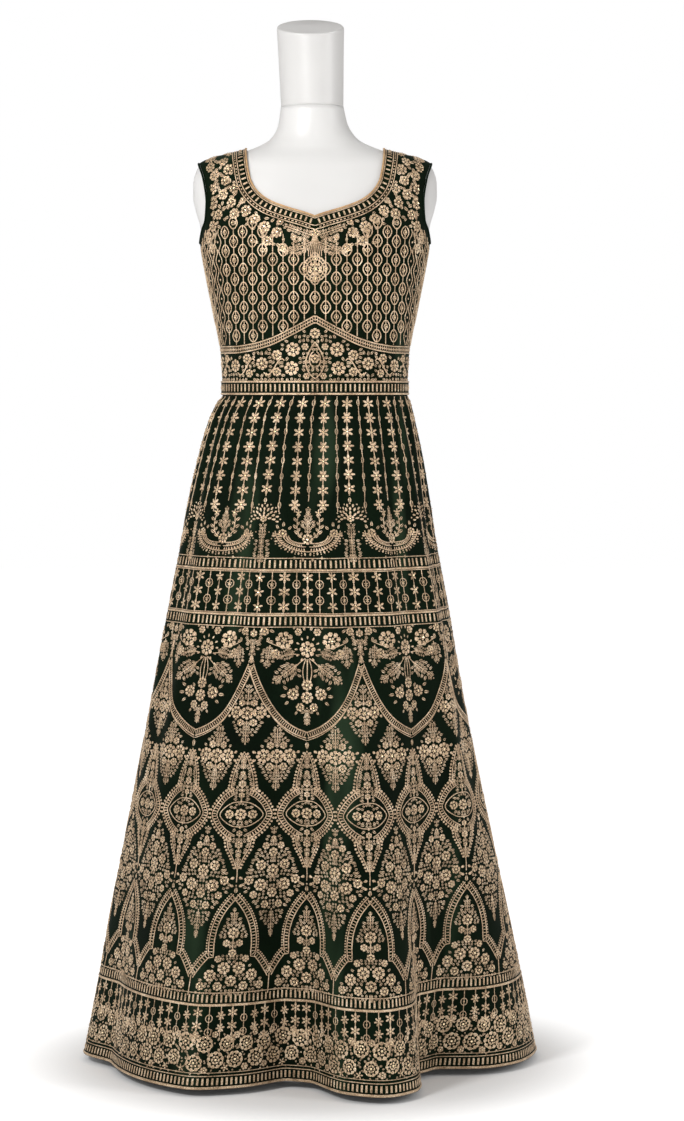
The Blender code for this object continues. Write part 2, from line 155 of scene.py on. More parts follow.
# The skirt's level sections inside the cloth, without folds, and how far each is moved along X.
SKIRT_COLUMNS = ("height", "half_width", "front", "back", "shift")
SKIRT = (
    (0.0100, 0.3155, 0.235, 0.250, -0.0160),
    (0.1145, 0.2985, 0.226, 0.240, -0.0135),
    (0.2305, 0.2785, 0.213, 0.226, -0.0130),
    (0.3465, 0.2570, 0.200, 0.211, -0.0120),
    (0.5205, 0.2245, 0.177, 0.187, -0.0115),
    (0.6655, 0.1975, 0.156, 0.164, -0.0100),
    (0.7525, 0.1805, 0.141, 0.148, -0.0100),
    (0.8105, 0.1710, 0.131, 0.137, -0.0090),
    (0.8685, 0.1600, 0.120, 0.125, -0.0070),
    (0.9265, 0.1463, 0.1075, 0.110, -0.0045),
    (0.9500, 0.1390, 0.1010, 0.103, -0.0020),
    (0.9610, 0.1345, 0.0980, 0.098, 0.0),
)

# The skirt's long folds: angle in degrees, how far from the axis the hem is there, and where the fold starts.
FOLD_COLUMNS = ("angle", "reach", "start")
FOLDS = (
    (-168, 0.215, 0.68),
    (-148, 0.300, 0.72),
    (-128, 0.255, 0.66),
    (-108, 0.325, 0.62),
    (-90, 0.333, 0.60),
    (-76, 0.297, 0.60),
    (-60, 0.298, 0.66),
    (-38, 0.293, 0.76),
    (-26, 0.250, 0.76),
    (-12, 0.185, 0.74),
    (-2, 0.192, 0.74),
    (10, 0.270, 0.78),
    (20, 0.298, 0.80),
    (28, 0.285, 0.74),
    (46, 0.200, 0.62),
    (56, 0.200, 0.60),
    (68, 0.268, 0.62),
    (80, 0.303, 0.62),
    (98, 0.322, 0.60),
    (112, 0.290, 0.62),
    (130, 0.300, 0.68),
    (150, 0.225, 0.72),
    (172, 0.290, 0.74),
)

# The skirt's small creases: angle, top and bottom height, how far the crease leans, half its width, depth.
CREASES = (
    (-52, 0.93, 0.30, -5, 5.0, 0.0054),
    (-33, 0.94, 0.45, 3, 4.0, -0.0050),
    (-18, 0.92, 0.22, -4, 5.5, 0.0058),
    (-5, 0.93, 0.50, 2, 4.0, -0.0043),
    (7, 0.92, 0.38, 4, 4.5, 0.0050),
    (19, 0.94, 0.55, -3, 3.5, -0.0047),
    (31, 0.93, 0.18, 6, 5.0, 0.0061),
    (44, 0.92, 0.40, 3, 4.5, -0.0054),
    (60, 0.93, 0.30, 5, 5.0, 0.0054),
    (78, 0.90, 0.26, -3, 6.0, -0.0050),
    (97, 0.93, 0.36, 4, 5.0, 0.0054),
    (118, 0.92, 0.20, -5, 5.5, 0.0061),
    (139, 0.94, 0.42, 3, 4.5, -0.0050),
    (158, 0.92, 0.28, -4, 5.0, 0.0054),
    (177, 0.93, 0.46, 4, 4.0, -0.0047),
    (196, 0.93, 0.24, 5, 5.5, 0.0058),
    (217, 0.92, 0.40, -3, 4.5, -0.0050),
    (238, 0.94, 0.20, 4, 5.0, 0.0061),
    (259, 0.92, 0.36, -4, 5.0, -0.0050),
    (281, 0.93, 0.30, 5, 5.5, 0.0054),
)

# Edges on the form's surface, as half the width across and the height.
EDGE_COLUMNS = ("across", "height")
FRONT_NECKLINE = (
    (0.0000, 1.2130),
    (0.0141, 1.2180),
    (0.0404, 1.2262),
    (0.0665, 1.2370),
    (0.0825, 1.2500),
    (0.0935, 1.2690),
    (0.0975, 1.2880),
    (0.0998, 1.3040),
    (0.1010, 1.3158),
)
BACK_NECKLINE = (
    (0.0000, 1.2050),
    (0.0300, 1.2075),
    (0.0600, 1.2190),
    (0.0825, 1.2400),
    (0.0940, 1.2650),
    (0.0980, 1.2860),
    (0.1000, 1.3030),
    (0.1010, 1.3158),
)
FRONT_ARMHOLE = (
    (0.1632, UNDERARM),
    (0.1590, 1.1985),
    (0.1535, 1.2140),
    (0.1520, 1.2390),
    (0.1560, 1.2680),
    (0.1615, 1.2870),
    (0.1655, 1.2962),
)
BACK_ARMHOLE = (
    (0.1632, UNDERARM),
    (0.1605, 1.1985),
    (0.1565, 1.2140),
    (0.1550, 1.2390),
    (0.1580, 1.2680),
    (0.1630, 1.2870),
    (0.1655, 1.2962),
)
NECK, ARM = 0, 1
EDGES = {False: (FRONT_NECKLINE, FRONT_ARMHOLE), True: (BACK_NECKLINE, BACK_ARMHOLE)}  # by whether it is the back


def smooth_curve(at, xs, ys):
    """Reads a curve through the points (xs, ys) that never overshoots them."""
    xs, ys = np.asarray(xs, float), np.asarray(ys, float)
    step = np.diff(xs)
    slope = np.diff(ys) / step
    inner = np.zeros(len(xs))
    same = slope[:-1] * slope[1:] > 0
    weight_a, weight_b = 2 * step[1:] + step[:-1], step[1:] + 2 * step[:-1]
    safe = np.where(same, slope[:-1], 1.0), np.where(same, slope[1:], 1.0)
    inner[1:-1] = np.where(same, (weight_a + weight_b) / (weight_a / safe[0] + weight_b / safe[1]), 0.0)
    inner[0], inner[-1] = slope[0], slope[-1]
    at = np.clip(np.asarray(at, float), xs[0], xs[-1])
    k = np.clip(np.searchsorted(xs, at, side="right") - 1, 0, len(xs) - 2)
    t = (at - xs[k]) / step[k]
    return (
        ys[k] * (1 + 2 * t) * (1 - t) ** 2
        + ys[k + 1] * t**2 * (3 - 2 * t)
        + step[k] * inner[k] * t * (1 - t) ** 2
        - step[k] * inner[k + 1] * t**2 * (1 - t)
    )


def smooth_path(at, place, points):
    """A smooth line through flat points, each at its own place."""
    return np.column_stack([smooth_curve(at, place, points[:, k]) for k in range(2)])


def read_line(at, place, points):
    """Points on the straight runs between points, each at its own place."""
    return np.stack([np.interp(at, place, points[:, k]) for k in range(points.shape[1])], axis=-1)


def distances(points):
    """How far along a line each of its points is."""
    return np.concatenate([[0], np.cumsum(np.linalg.norm(np.diff(points, axis=0), axis=1))])


def length_mm(points):
    """The whole length of a line, in millimetres."""
    return float(np.linalg.norm(np.diff(points, axis=0), axis=1).sum()) * 1000


def turns(count):
    """The angles of count even steps round."""
    return np.arange(count) / count * 2 * math.pi


def column(table, names, name):
    return [row[names.index(name)] for row in table]


def section(table, names, height):
    """The values of a table of level sections at any height, by name."""
    heights = column(table, names, "height")
    return {name: smooth_curve(height, heights, column(table, names, name)) for name in names[1:]}


def ring_point(angle, half_width, front, back, square):
    """A point of a rounded level section. Angle 0 is the front."""
    across, along = np.sin(angle), np.cos(angle)
    depth = np.where(along > 0, front, back)
    x = half_width * np.sign(across) * np.abs(across) ** (2 / square)
    y = -depth * np.sign(along) * np.abs(along) ** (2 / square)
    return x, y


def torso(angle, height):
    """Points of the form's surface."""
    s = section(TORSO, TORSO_COLUMNS, height)
    x, y = ring_point(angle, s["half_width"], s["front"], s["back"], s["square"])
    return np.stack(np.broadcast_arrays(x + s["shift"], y, height), axis=-1)


def plain_skirt(angle, height):
    """X and Y of the skirt without folds."""
    s = section(SKIRT, SKIRT_COLUMNS, height)
    x, y = ring_point(angle, s["half_width"], s["front"], s["back"], 2.0)
    return x + s["shift"], y


def direction(x, y):
    """The angle in degrees of a point as seen from the axis, 0 in front."""
    return np.degrees(np.arctan2(x, -y))


def folds():
    """The fold table made into even steps of direction: how far the hem stands out, and where it starts."""
    degrees = np.arange(-180.0, 181.0, 1.0)
    x, y = plain_skirt(np.radians(np.arange(-200.0, 201.0)), HEM)
    seen = np.unwrap(direction(x, y), period=360)
    plain = np.interp(degrees, seen - 360 * np.round(seen[200] / 360), np.hypot(x, y))
    angles = np.array(column(FOLDS, FOLD_COLUMNS, "angle"), float)
    at = np.concatenate([angles[-2:] - 360, angles, angles[:2] + 360])
    reach, start = (
        smooth_curve(degrees, at, np.concatenate([v[-2:], v, v[:2]]))
        for v in (np.array(column(FOLDS, FOLD_COLUMNS, name)) for name in ("reach", "start"))
    )
    return degrees, reach - plain, start


FOLD_SHAPE = folds()


def skirt(angle, height):
    """Points of the skirt's inner face. Under the band it follows the bodice."""
    x, y = plain_skirt(angle, height)
    away = np.hypot(x, y)
    degrees, out, start = FOLD_SHAPE
    seen = direction(x, y)
    out, start = np.interp(seen, degrees, out), np.interp(seen, degrees, start)
    long_folds = out * np.clip((start - height) / (start - HEM), 0, 1) ** FOLD_POWER
    below_band = np.clip((BAND_BOTTOM - height) / 0.03, 0, 1)
    fading = np.clip((height - GATHERS_END) / (BAND_BOTTOM - GATHERS_END), 0, 1)
    offset = long_folds + GATHER_DEPTH * below_band * fading * np.cos(GATHERS * angle)
    hanging = np.stack(np.broadcast_arrays(x * (1 + offset / away), y * (1 + offset / away), height), axis=-1)
    fitted = raised(torso, angle, np.maximum(height, BAND_BOTTOM - 0.002), FIT)
    fitted[..., 2] = height
    part_hanging = np.clip((BAND_BOTTOM - 0.001 - height) / 0.006, 0, 1)[..., None]
    return fitted + (hanging - fitted) * part_hanging


def cloth_angle(share, height):
    """The angle at a share of the way round the skirt's cloth at one height, from the front towards +X."""
    angles = np.linspace(0, 2 * math.pi, AROUND_SAMPLES + 1)
    points = skirt(angles, np.full_like(angles, height))
    run = np.concatenate([[0], np.cumsum(np.hypot(*np.diff(points[:, :2], axis=0).T))])
    whole = np.floor(share)
    return np.interp((share - whole) * run[-1], run, angles) + 2 * math.pi * whole


def normals(surface, angle, height):
    """The outward unit normals of a surface."""
    along = surface(angle + STEP, height) - surface(angle - STEP, height)
    up = surface(angle, height + STEP) - surface(angle, height - STEP)
    across = np.cross(along, up)
    return across / np.linalg.norm(across, axis=-1, keepdims=True)


def raised(surface, angle, height, out):
    """Points of a surface moved out along its normals."""
    return surface(angle, height) + normals(surface, angle, height) * np.asarray(out)[..., None]


def edge_on_torso(edge, rear):
    """An edge line of a bodice panel as (angle, height) in close steps."""
    t = np.linspace(0, len(edge) - 1, 40 * len(edge))
    place = np.arange(len(edge))
    across = smooth_curve(t, place, column(edge, EDGE_COLUMNS, "across"))
    height = smooth_curve(t, place, column(edge, EDGE_COLUMNS, "height"))
    s = section(TORSO, TORSO_COLUMNS, height)
    share = np.clip(across / s["half_width"], 0, 1) ** (s["square"] / 2)
    angle = np.arcsin(share)
    return np.stack([math.pi - angle if rear else angle, height], axis=-1)


def spaced(line, count):
    """The line again as count steps of equal length on the form."""
    points = torso(line[:, 0], line[:, 1])
    run = distances(points)
    at = np.linspace(0, run[-1], count + 1)
    return read_line(at, run, line)


def new_object(name, points, faces, look, smooth=True):
    """A mesh object from arrays of points and of triangles or quads."""
    mesh = bpy.data.meshes.new(name)
    faces = np.asarray(faces, np.int32)
    sides = faces.shape[1]
    mesh.vertices.add(len(points))
    mesh.vertices.foreach_set("co", np.asarray(points, np.float32).ravel())
    mesh.loops.add(faces.size)
    mesh.loops.foreach_set("vertex_index", faces.ravel())
    mesh.polygons.add(len(faces))
    mesh.polygons.foreach_set("loop_start", np.arange(0, faces.size, sides, dtype=np.int32))
    mesh.update(calc_edges=True)
    if smooth:
        mesh.shade_smooth()
    obj = bpy.data.objects.new(name, mesh)
    obj.data.materials.append(look)
    bpy.context.scene.collection.objects.link(obj)
    return obj


def grid_faces(rows, columns, start=0, close=False, turned=False):
    """Quads over a grid of points. close joins the last column to the first."""
    index = np.arange(rows * columns).reshape(rows, columns) + start
    if close:
        index = np.concatenate([index, index[:, :1]], axis=1)
    quads = np.stack([index[:-1, :-1], index[:-1, 1:], index[1:, 1:], index[1:, :-1]], axis=-1).reshape(-1, 4)
    return quads[:, ::-1] if turned else quads


def rim_faces(line, count, turned):
    """Quads from the outer to the inner face along one edge line."""
    a, b = line[:-1], line[1:]
    strip = np.stack([a, a + count, b + count, b], axis=-1)
    return strip[:, ::-1] if turned else strip


def cloth_tube(name, inner, outer, look):
    """A wall of cloth all round, between two grids of points whose rows run up and columns towards +X in front."""
    rows, columns = inner.shape[:2]
    count = rows * columns
    points = np.concatenate([outer.reshape(-1, 3), inner.reshape(-1, 3)])
    faces = [grid_faces(rows, columns, 0, True), grid_faces(rows, columns, count, True, turned=True)]
    edge = np.arange(count).reshape(rows, columns)
    for line, turned in ((edge[0], False), (edge[-1], True)):
        faces.append(rim_faces(np.append(line, line[0]), count, turned))
    return new_object(name, points, np.concatenate(faces), look)


class SkirtMap:
    """The skirt's outer face as a table: a share of the way round and a height give a point and its normal."""

    def __init__(self):
        low, high = HEM, BODICE_BOTTOM - SEAM_GAP
        rows = round((high - low) / SKIRT_ROW_STEP)
        under = np.linspace(BAND_BOTTOM - 0.010, high, 8)
        self.heights = np.concatenate([np.linspace(low, under[0], rows)[:-1], under])
        share = np.arange(SKIRT_COLUMNS_ROUND + 1) / SKIRT_COLUMNS_ROUND
        angle = np.array([cloth_angle(share, z) for z in self.heights])
        height = np.broadcast_to(self.heights[:, None], angle.shape)
        self.inner = draped(angle, height)
        thick = smooth_curve(height, [HEM, HEM_TURN, 1.0], [HEM_CLOTH, CLOTH, CLOTH])
        self.normal = normals(draped, angle, height)
        self.outer = self.inner + self.normal * thick[..., None]
        self.outer[..., 2] = height
        self.length = np.linalg.norm(np.diff(self.outer[..., :2], axis=1), axis=-1).sum(axis=1)

    def round_length(self, z):
        return np.interp(z, self.heights, self.length)

    def place(self, share, z, out):
        share = np.mod(share, 1.0) * SKIRT_COLUMNS_ROUND
        column = np.clip(np.floor(share).astype(int), 0, SKIRT_COLUMNS_ROUND - 1)
        z = np.clip(z, self.heights[0], self.heights[-1])
        row = np.clip(np.searchsorted(self.heights, z, side="right") - 1, 0, len(self.heights) - 2)
        s = (share - column)[:, None]
        t = ((z - self.heights[row]) / (self.heights[row + 1] - self.heights[row]))[:, None]

        def read(table):
            low = table[row, column] * (1 - s) + table[row, column + 1] * s
            high = table[row + 1, column] * (1 - s) + table[row + 1, column + 1] * s
            return low * (1 - t) + high * t

        return read(self.outer) + read(self.normal) * out[:, None]


def draped(angle, height):
    """The skirt with its small uneven creases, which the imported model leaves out."""
    points = skirt(angle, height)
    degrees = np.degrees(angle) % 360
    rise = np.zeros(np.broadcast(degrees, height).shape)
    for centre, top, bottom, lean, width, depth in CREASES:
        along = np.clip((top - height) / (top - bottom), 0, 1)
        middle = centre + lean * along
        apart = (degrees - middle + 180) % 360 - 180
        fade = np.sin(np.pi * along) ** 0.7
        rise = rise + depth * fade * np.exp(-((apart / width) ** 2))
    away = np.hypot(points[..., 0], points[..., 1])
    points[..., :2] *= (1 + rise / away)[..., None]
    return points


def torso_at(points):
    """The angle of points near the form, as seen at their own heights."""
    s = section(TORSO, TORSO_COLUMNS, points[..., 2])
    x, y = points[..., 0] - s["shift"], points[..., 1]
    depth = np.where(y < 0, s["front"], s["back"])
    across = np.sign(x) * (np.abs(x) / s["half_width"]) ** (s["square"] / 2)
    along = -np.sign(y) * (np.abs(y) / depth) ** (s["square"] / 2)
    return np.arctan2(across, along)


class BodiceMap:
    """The bodice's outer face: a distance round from the front's middle and a height give an angle."""

    def __init__(self):
        self.heights = np.linspace(BAND_BOTTOM, 1.32, 150)
        self.angles = np.radians(np.arange(0, 181))
        points = torso(self.angles[None, :], self.heights[:, None])
        run = np.cumsum(np.hypot(*np.moveaxis(np.diff(points[..., :2], axis=1), -1, 0)), axis=1)
        self.run = np.concatenate([np.zeros((len(self.heights), 1)), run], axis=1)

    def angle(self, across, z):
        """Angles for distances round. A distance past the middle of the back runs on to the other side."""
        z = np.clip(z, self.heights[0], self.heights[-1])
        row = (z - self.heights[0]) / (self.heights[1] - self.heights[0])
        low = np.clip(row.astype(int), 0, len(self.heights) - 2)
        t = row - low
        found = np.empty_like(across)
        for k in np.unique(low):
            here = low == k
            a = np.interp(np.abs(across[here]), self.run[k], self.angles)
            b = np.interp(np.abs(across[here]), self.run[k + 1], self.angles)
            found[here] = a * (1 - t[here]) + b * t[here]
        return np.sign(across) * found

    def half_round(self, z, rear=False):
        """The distance from the front's middle to the side seam, or to the back's middle."""
        column = 180 if rear else 90
        return np.interp(z, self.heights, self.run[:, column])


# Thread work, drawn flat in millimetres: x across, y up, h out of the cloth


class Drawing:
    """Points and triangles in millimetres, with the sequins in a drawing of their own."""

    def __init__(self):
        self.points, self.faces, self.count = [], [], 0
        self.sequins = None

    def add(self, points, faces):
        points = np.asarray(points, float)
        self.points.append(points)
        self.faces.append(np.asarray(faces, np.int64).reshape(-1, 3) + self.count)
        self.count += len(points)

    def merged(self):
        if not self.points:
            return np.zeros((0, 3)), np.zeros((0, 3), np.int64)
        if len(self.points) > 1:
            self.points, self.faces = [np.concatenate(self.points)], [np.concatenate(self.faces)]
        return self.points[0], self.faces[0]

    def put(self, other, x=0.0, y=0.0, turn=0.0, size=1.0, flip=False, tall=1.0):
        """Adds another drawing, turned by degrees, scaled and moved."""
        if other.sequins is not None:
            if self.sequins is None:
                self.sequins = Drawing()
            self.sequins.put(other.sequins, x, y, turn, size, flip, tall)
        points, faces = other.merged()
        if not len(points):
            return
        points = points.copy()
        if flip:
            points[:, 0] *= -1
            faces = faces[:, ::-1]
        points[:, :2] *= size
        points[:, 1] *= tall
        c, s = math.cos(math.radians(turn)), math.sin(math.radians(turn))
        points[:, 0], points[:, 1] = points[:, 0] * c - points[:, 1] * s + x, points[:, 0] * s + points[:, 1] * c + y
        self.add(points, faces)

    def both(self, other, x=0.0, y=0.0, turn=0.0, size=1.0, tall=1.0):
        """Adds a drawing on the right and its mirror image on the left."""
        self.put(other, x, y, turn, size, False, tall)
        self.put(other, -x, y, -turn, size, True, tall)

    def line(self, path, width=1.8, height=0.7, closed=False, taper=False):
        """A raised thread along a path."""
        path = np.asarray(path, float)
        if closed:
            path = np.concatenate([path, path[:1]])
        along = np.gradient(path, axis=0)
        if closed:
            along[0] = along[-1] = path[1] - path[-2]
        along /= np.maximum(np.linalg.norm(along, axis=1, keepdims=True), 1e-9)
        side = np.stack([-along[:, 1], along[:, 0]], axis=1)
        half = np.full(len(path), width / 2)
        if taper:
            half *= 0.25 + 0.75 * np.sin(np.linspace(0.15, 1.0, len(path)) * math.pi) ** 0.5
        edge = np.full(len(path), THREAD_SINK)
        top = np.full(len(path), height) * (half / half.max())
        points = np.concatenate([
            np.column_stack([path + side * half[:, None], edge]),
            np.column_stack([path, top]),
            np.column_stack([path - side * half[:, None], edge]),
        ])
        n = len(path)
        a = np.arange(n - 1)
        faces = []
        for low, high in ((2 * n, n), (n, 0)):
            b = a + high + 1
            faces += [np.stack([a + low, a + low + 1, b], 1), np.stack([a + low, b, b - 1], 1)]
        self.add(points, np.concatenate(faces))

    def line_both(self, path, width, height=0.7):
        """A thread along a path, and its mirror image."""
        self.line(path, width, height)
        self.line((path * (-1, 1))[::-1], width, height)

    def level(self, x, y, width, height=0.9):
        """A thread along x at one y."""
        self.line(np.column_stack([x, np.full_like(x, y)]), width, height)

    def hang(self, length, points, width):
        """A low thread straight down from the origin."""
        self.line(np.column_stack([np.zeros(points), -np.linspace(0, length, points)]), width, 0.6)

    def bar(self, x, half, low, high, height):
        """A short upright bar."""
        self.pad([(x - half, low), (x + half, low), (x + half, high), (x - half, high)], height)

    def leaves(self, table):
        """Broad leaves and their mirror images, from rows of (x, y, turn, size)."""
        for x, y, turn, size in table:
            self.both(BROAD_LEAF, x, y, turn, size)

    def pad(self, outline, height=0.8, middle=None):
        """A raised patch with its top at the middle."""
        outline = np.asarray(outline, float)
        n = len(outline)
        centre = outline.mean(axis=0) if middle is None else np.asarray(middle, float)
        points = np.concatenate([
            np.column_stack([outline, np.full(n, THREAD_SINK)]),
            [[*centre, height]],
        ])
        a = np.arange(n)
        self.add(points, np.stack([a, (a + 1) % n, np.full(n, n)], 1))

    def sequin(self, x, y, radius=1.3, height=1.5):
        """A small cupped disc, kept apart from the thread."""
        if self.sequins is None:
            self.sequins = Drawing()
        turn = turns(8)
        rim = np.column_stack([x + radius * np.cos(turn), y + radius * np.sin(turn)])
        heights = np.full(8, height)
        points = np.concatenate([np.column_stack([rim, heights]), [[x, y, height - 0.35]]])
        a = np.arange(8)
        self.sequins.add(points, np.stack([a, (a + 1) % 8, np.full(8, 8)], 1))

    def dot(self, x, y, radius=1.2, height=0.9, sides=5):
        """A bead or knot."""
        turn = turns(sides)
        self.pad(np.column_stack([x + radius * np.cos(turn), y + radius * np.sin(turn)]), height, (x, y))


def petal(length, width, height=0.9, tip=0.62):
    """A petal from the origin upwards."""
    t = np.array([0.0, 0.45, 0.82])
    half = width / 2 * np.array([0.3, 1.0, 0.78 * tip / 0.62])
    right = np.column_stack([half, t * length])
    left = np.column_stack([-half[::-1], t[::-1] * length])
    d = Drawing()
    d.pad(np.concatenate([right, [[0, length]], left]), height, (0, length * 0.55))
    return d


def leaf(length, width, bend=0.0, height=0.8):
    """Two half leaves with a thin gap for the vein, from the origin upwards."""
    t = np.linspace(0, 1, 5)
    half = width / 2 * np.sin(np.pi * t**0.8) ** 0.9
    spine = np.column_stack([bend * length * t**2, t * length])
    d = Drawing()
    for side in (1, -1):
        inner = spine + (side * 0.22, 0)
        outer = spine + np.column_stack([side * half, np.zeros(5)])
        outline = np.concatenate([inner[:1], outer[1:-1], inner[-1:], inner[2:3]])
        if side < 0:
            outline = outline[::-1]
        d.pad(outline, height)
    return d


def around(radius, turn):
    """The point at a distance from the origin, turned by degrees from straight up."""
    a = math.radians(turn)
    return -radius * math.sin(a), radius * math.cos(a)


def rosette(radius, petals, rings):
    """A round flower with one or two rings of petals."""
    d = Drawing()
    start = 0.37 if rings > 1 else 0.22
    outer = petal(radius * (1 - start), 2 * math.pi * radius * 0.72 / petals, 1.1, 0.80)
    for k in range(petals):
        turn = 360 * k / petals
        d.put(outer, *around(radius * start, turn), turn)
    if rings > 1:
        inner = petal(radius * 0.27, 2 * math.pi * radius * 0.25 / 5 * 0.95, 1.3)
        for k in range(5):
            turn = 72 * k + 20
            d.put(inner, *around(radius * 0.12, turn), turn)
    d.dot(0, 0, radius * 0.24 * (0.7 if rings > 1 else 1.0), 1.2, 6)
    d.sequin(0, 0, min(1.9, max(1.0, radius * 0.16)), 1.6)
    if rings > 1:
        for k in range(0, petals, 2):
            a = 2 * math.pi * (k + 0.5) / petals
            d.sequin(radius * 0.62 * math.sin(a), radius * 0.62 * math.cos(a), 0.8, 1.1)
    return d


def star_flower(radius, petals=6):
    """A small open flower with a bead at each petal's tip."""
    d = Drawing()
    shape = petal(radius * 0.70, radius * 0.52, 1.0, 0.80)
    for k in range(petals):
        turn = 360 * k / petals
        d.put(shape, *around(radius * 0.18, turn), turn)
        d.dot(*around(radius * 0.86, turn), radius * 0.235, 1.1)
    d.dot(0, 0, radius * 0.28, 1.3, 6)
    d.sequin(0, 0, 1.1, 1.6)
    return d


def ring(radius, width, sides, tall=1.0):
    """A closed thread, round or tall."""
    turn = turns(sides)
    d = Drawing()
    d.line(np.column_stack([radius * np.sin(turn), radius * tall * np.cos(turn)]), width, closed=True)
    return d


def bezier(*points, count=12):
    """A smooth path by the points of one Bezier curve."""
    points = np.asarray(points, float)
    t = np.linspace(0, 1, count)[:, None]
    n = len(points) - 1
    return sum(math.comb(n, k) * t**k * (1 - t) ** (n - k) * points[k] for k in range(n + 1))


SMALL_FLOWER = star_flower(8.0)
TINY_FLOWER = star_flower(5.3, 5)
BROAD_LEAF = leaf(11.0, 5.2)


def scalloped(d, path, size, gap, height):
    """Small petals along a path, standing out to its right side."""
    path = np.asarray(path, float)
    run = distances(path)
    count = max(2, round(run[-1] / gap))
    at = (np.arange(count) + 0.5) / count * run[-1]
    x, y = np.interp(at, run, path[:, 0]), np.interp(at, run, path[:, 1])
    dx = np.interp(at + 0.5, run, path[:, 0]) - np.interp(at - 0.5, run, path[:, 0])
    dy = np.interp(at + 0.5, run, path[:, 1]) - np.interp(at - 0.5, run, path[:, 1])
    shape = petal(size * 1.25, gap * 0.86, height)
    for px, py, vx, vy in zip(x, y, dx, dy):
        out = math.degrees(math.atan2(-vx, vy)) - 90
        d.put(shape, px, py, out)


FILL_LEAVES = [leaf(*sizes) for sizes in ((7.6, 3.7, 0.12), (6.6, 3.5, -0.1), (5.6, 3.2, 0.0))]


def leafy(d, profile, middle, avoid, step, seed, stem=True, spread=(24, 78)):
    """Fills a form that is the same left and right with small leaves. profile lists (y, half width), and the leaves
    point up above middle and down below it. avoid lists circles (x, y, radius) to leave free."""
    rng = np.random.default_rng(seed)
    ys, halves = np.array(profile, float).T
    order = np.argsort(ys)
    ys, halves = ys[order], halves[order]
    rows = max(2, round((ys[-1] - ys[0]) / (step * 0.9)))
    for r in range(rows):
        y = ys[0] + (r + 0.5) * (ys[-1] - ys[0]) / rows
        half = float(np.interp(y, ys, halves))
        count = max(1, round(half / step))
        for c in range(count):
            x = (c + 0.45) * half / count if count > 1 else half * 0.35
            x += rng.uniform(-0.5, 0.5)
            yy = y + rng.uniform(-0.7, 0.7)
            if any((abs(x) - ax) ** 2 + (yy - ay) ** 2 < (ar + 1.2) ** 2 for ax, ay, ar in avoid):
                continue
            share = x / max(half, 1)
            lean = spread[0] + (spread[1] - spread[0]) * share + rng.uniform(-9, 9)
            turn = -lean if yy >= middle else -180 + lean
            edge = 1.12 if share > 0.7 else 1.0
            d.both(FILL_LEAVES[rng.integers(3)], x - 1.2, yy - (2.0 if yy >= middle else -2.0), turn, edge)
    if stem:
        steps = np.arange(ys[0], ys[-1], 4.0)
        free = [y for y in steps if not any(ax < ar and abs(y - ay) < ar for ax, ay, ar in avoid)]
        for y in free[:-1]:
            if y + 4.0 in free or y + 4.0 <= ys[-1]:
                d.line([(0, y), (0, y + 4.0)], 1.7, 0.85)
    d.dot(0, ys[-1] + 0.8, 1.5)
    d.dot(0, ys[0] - 0.8, 1.5)


def flowers(d, table):
    """Round flowers from rows of (x, y, radius), each with its mirror image where x isn't 0."""
    for x, y, radius in table:
        shape = rosette(radius, 8 if radius > 8.5 else 7 if radius > 6 else 6, 2 if radius > 6 else 1)
        if x:
            d.both(shape, x, y, 7 * x)
        else:
            d.put(shape, 0, y)


def buta(width, height):
    """A pointed sprig: three round flowers in a row, a leafy crown above and a leafy tail below."""
    d = Drawing()
    w, h = width / 53, height / 90
    blooms = [
        (0, 0, 10.6 * w), (17.6 * w, 1.0 * h, 10.2 * w), (9.0 * w, 15.5 * h, 5.6 * w), (9.5 * w, -14.5 * h, 6.0 * w),
    ]
    flowers(d, blooms)
    crown = [(8 * h, 25 * w), (14 * h, 21 * w), (21 * h, 15.5 * w), (31 * h, 9.5 * w), (42 * h, 3)]
    tail = [(-46 * h, 2.6), (-35 * h, 9.5 * w), (-25 * h, 15.5 * w), (-15 * h, 21 * w), (-8 * h, 25 * w)]
    leafy(d, crown, 0, blooms, 4.7, 3)
    leafy(d, tail, 0, blooms, 4.7, 4)
    d.both(petal(6.5 * w, 5), 26.5 * w, 5 * h, -65)
    d.both(petal(6.5 * w, 5), 26.5 * w, -4 * h, -110)
    return d


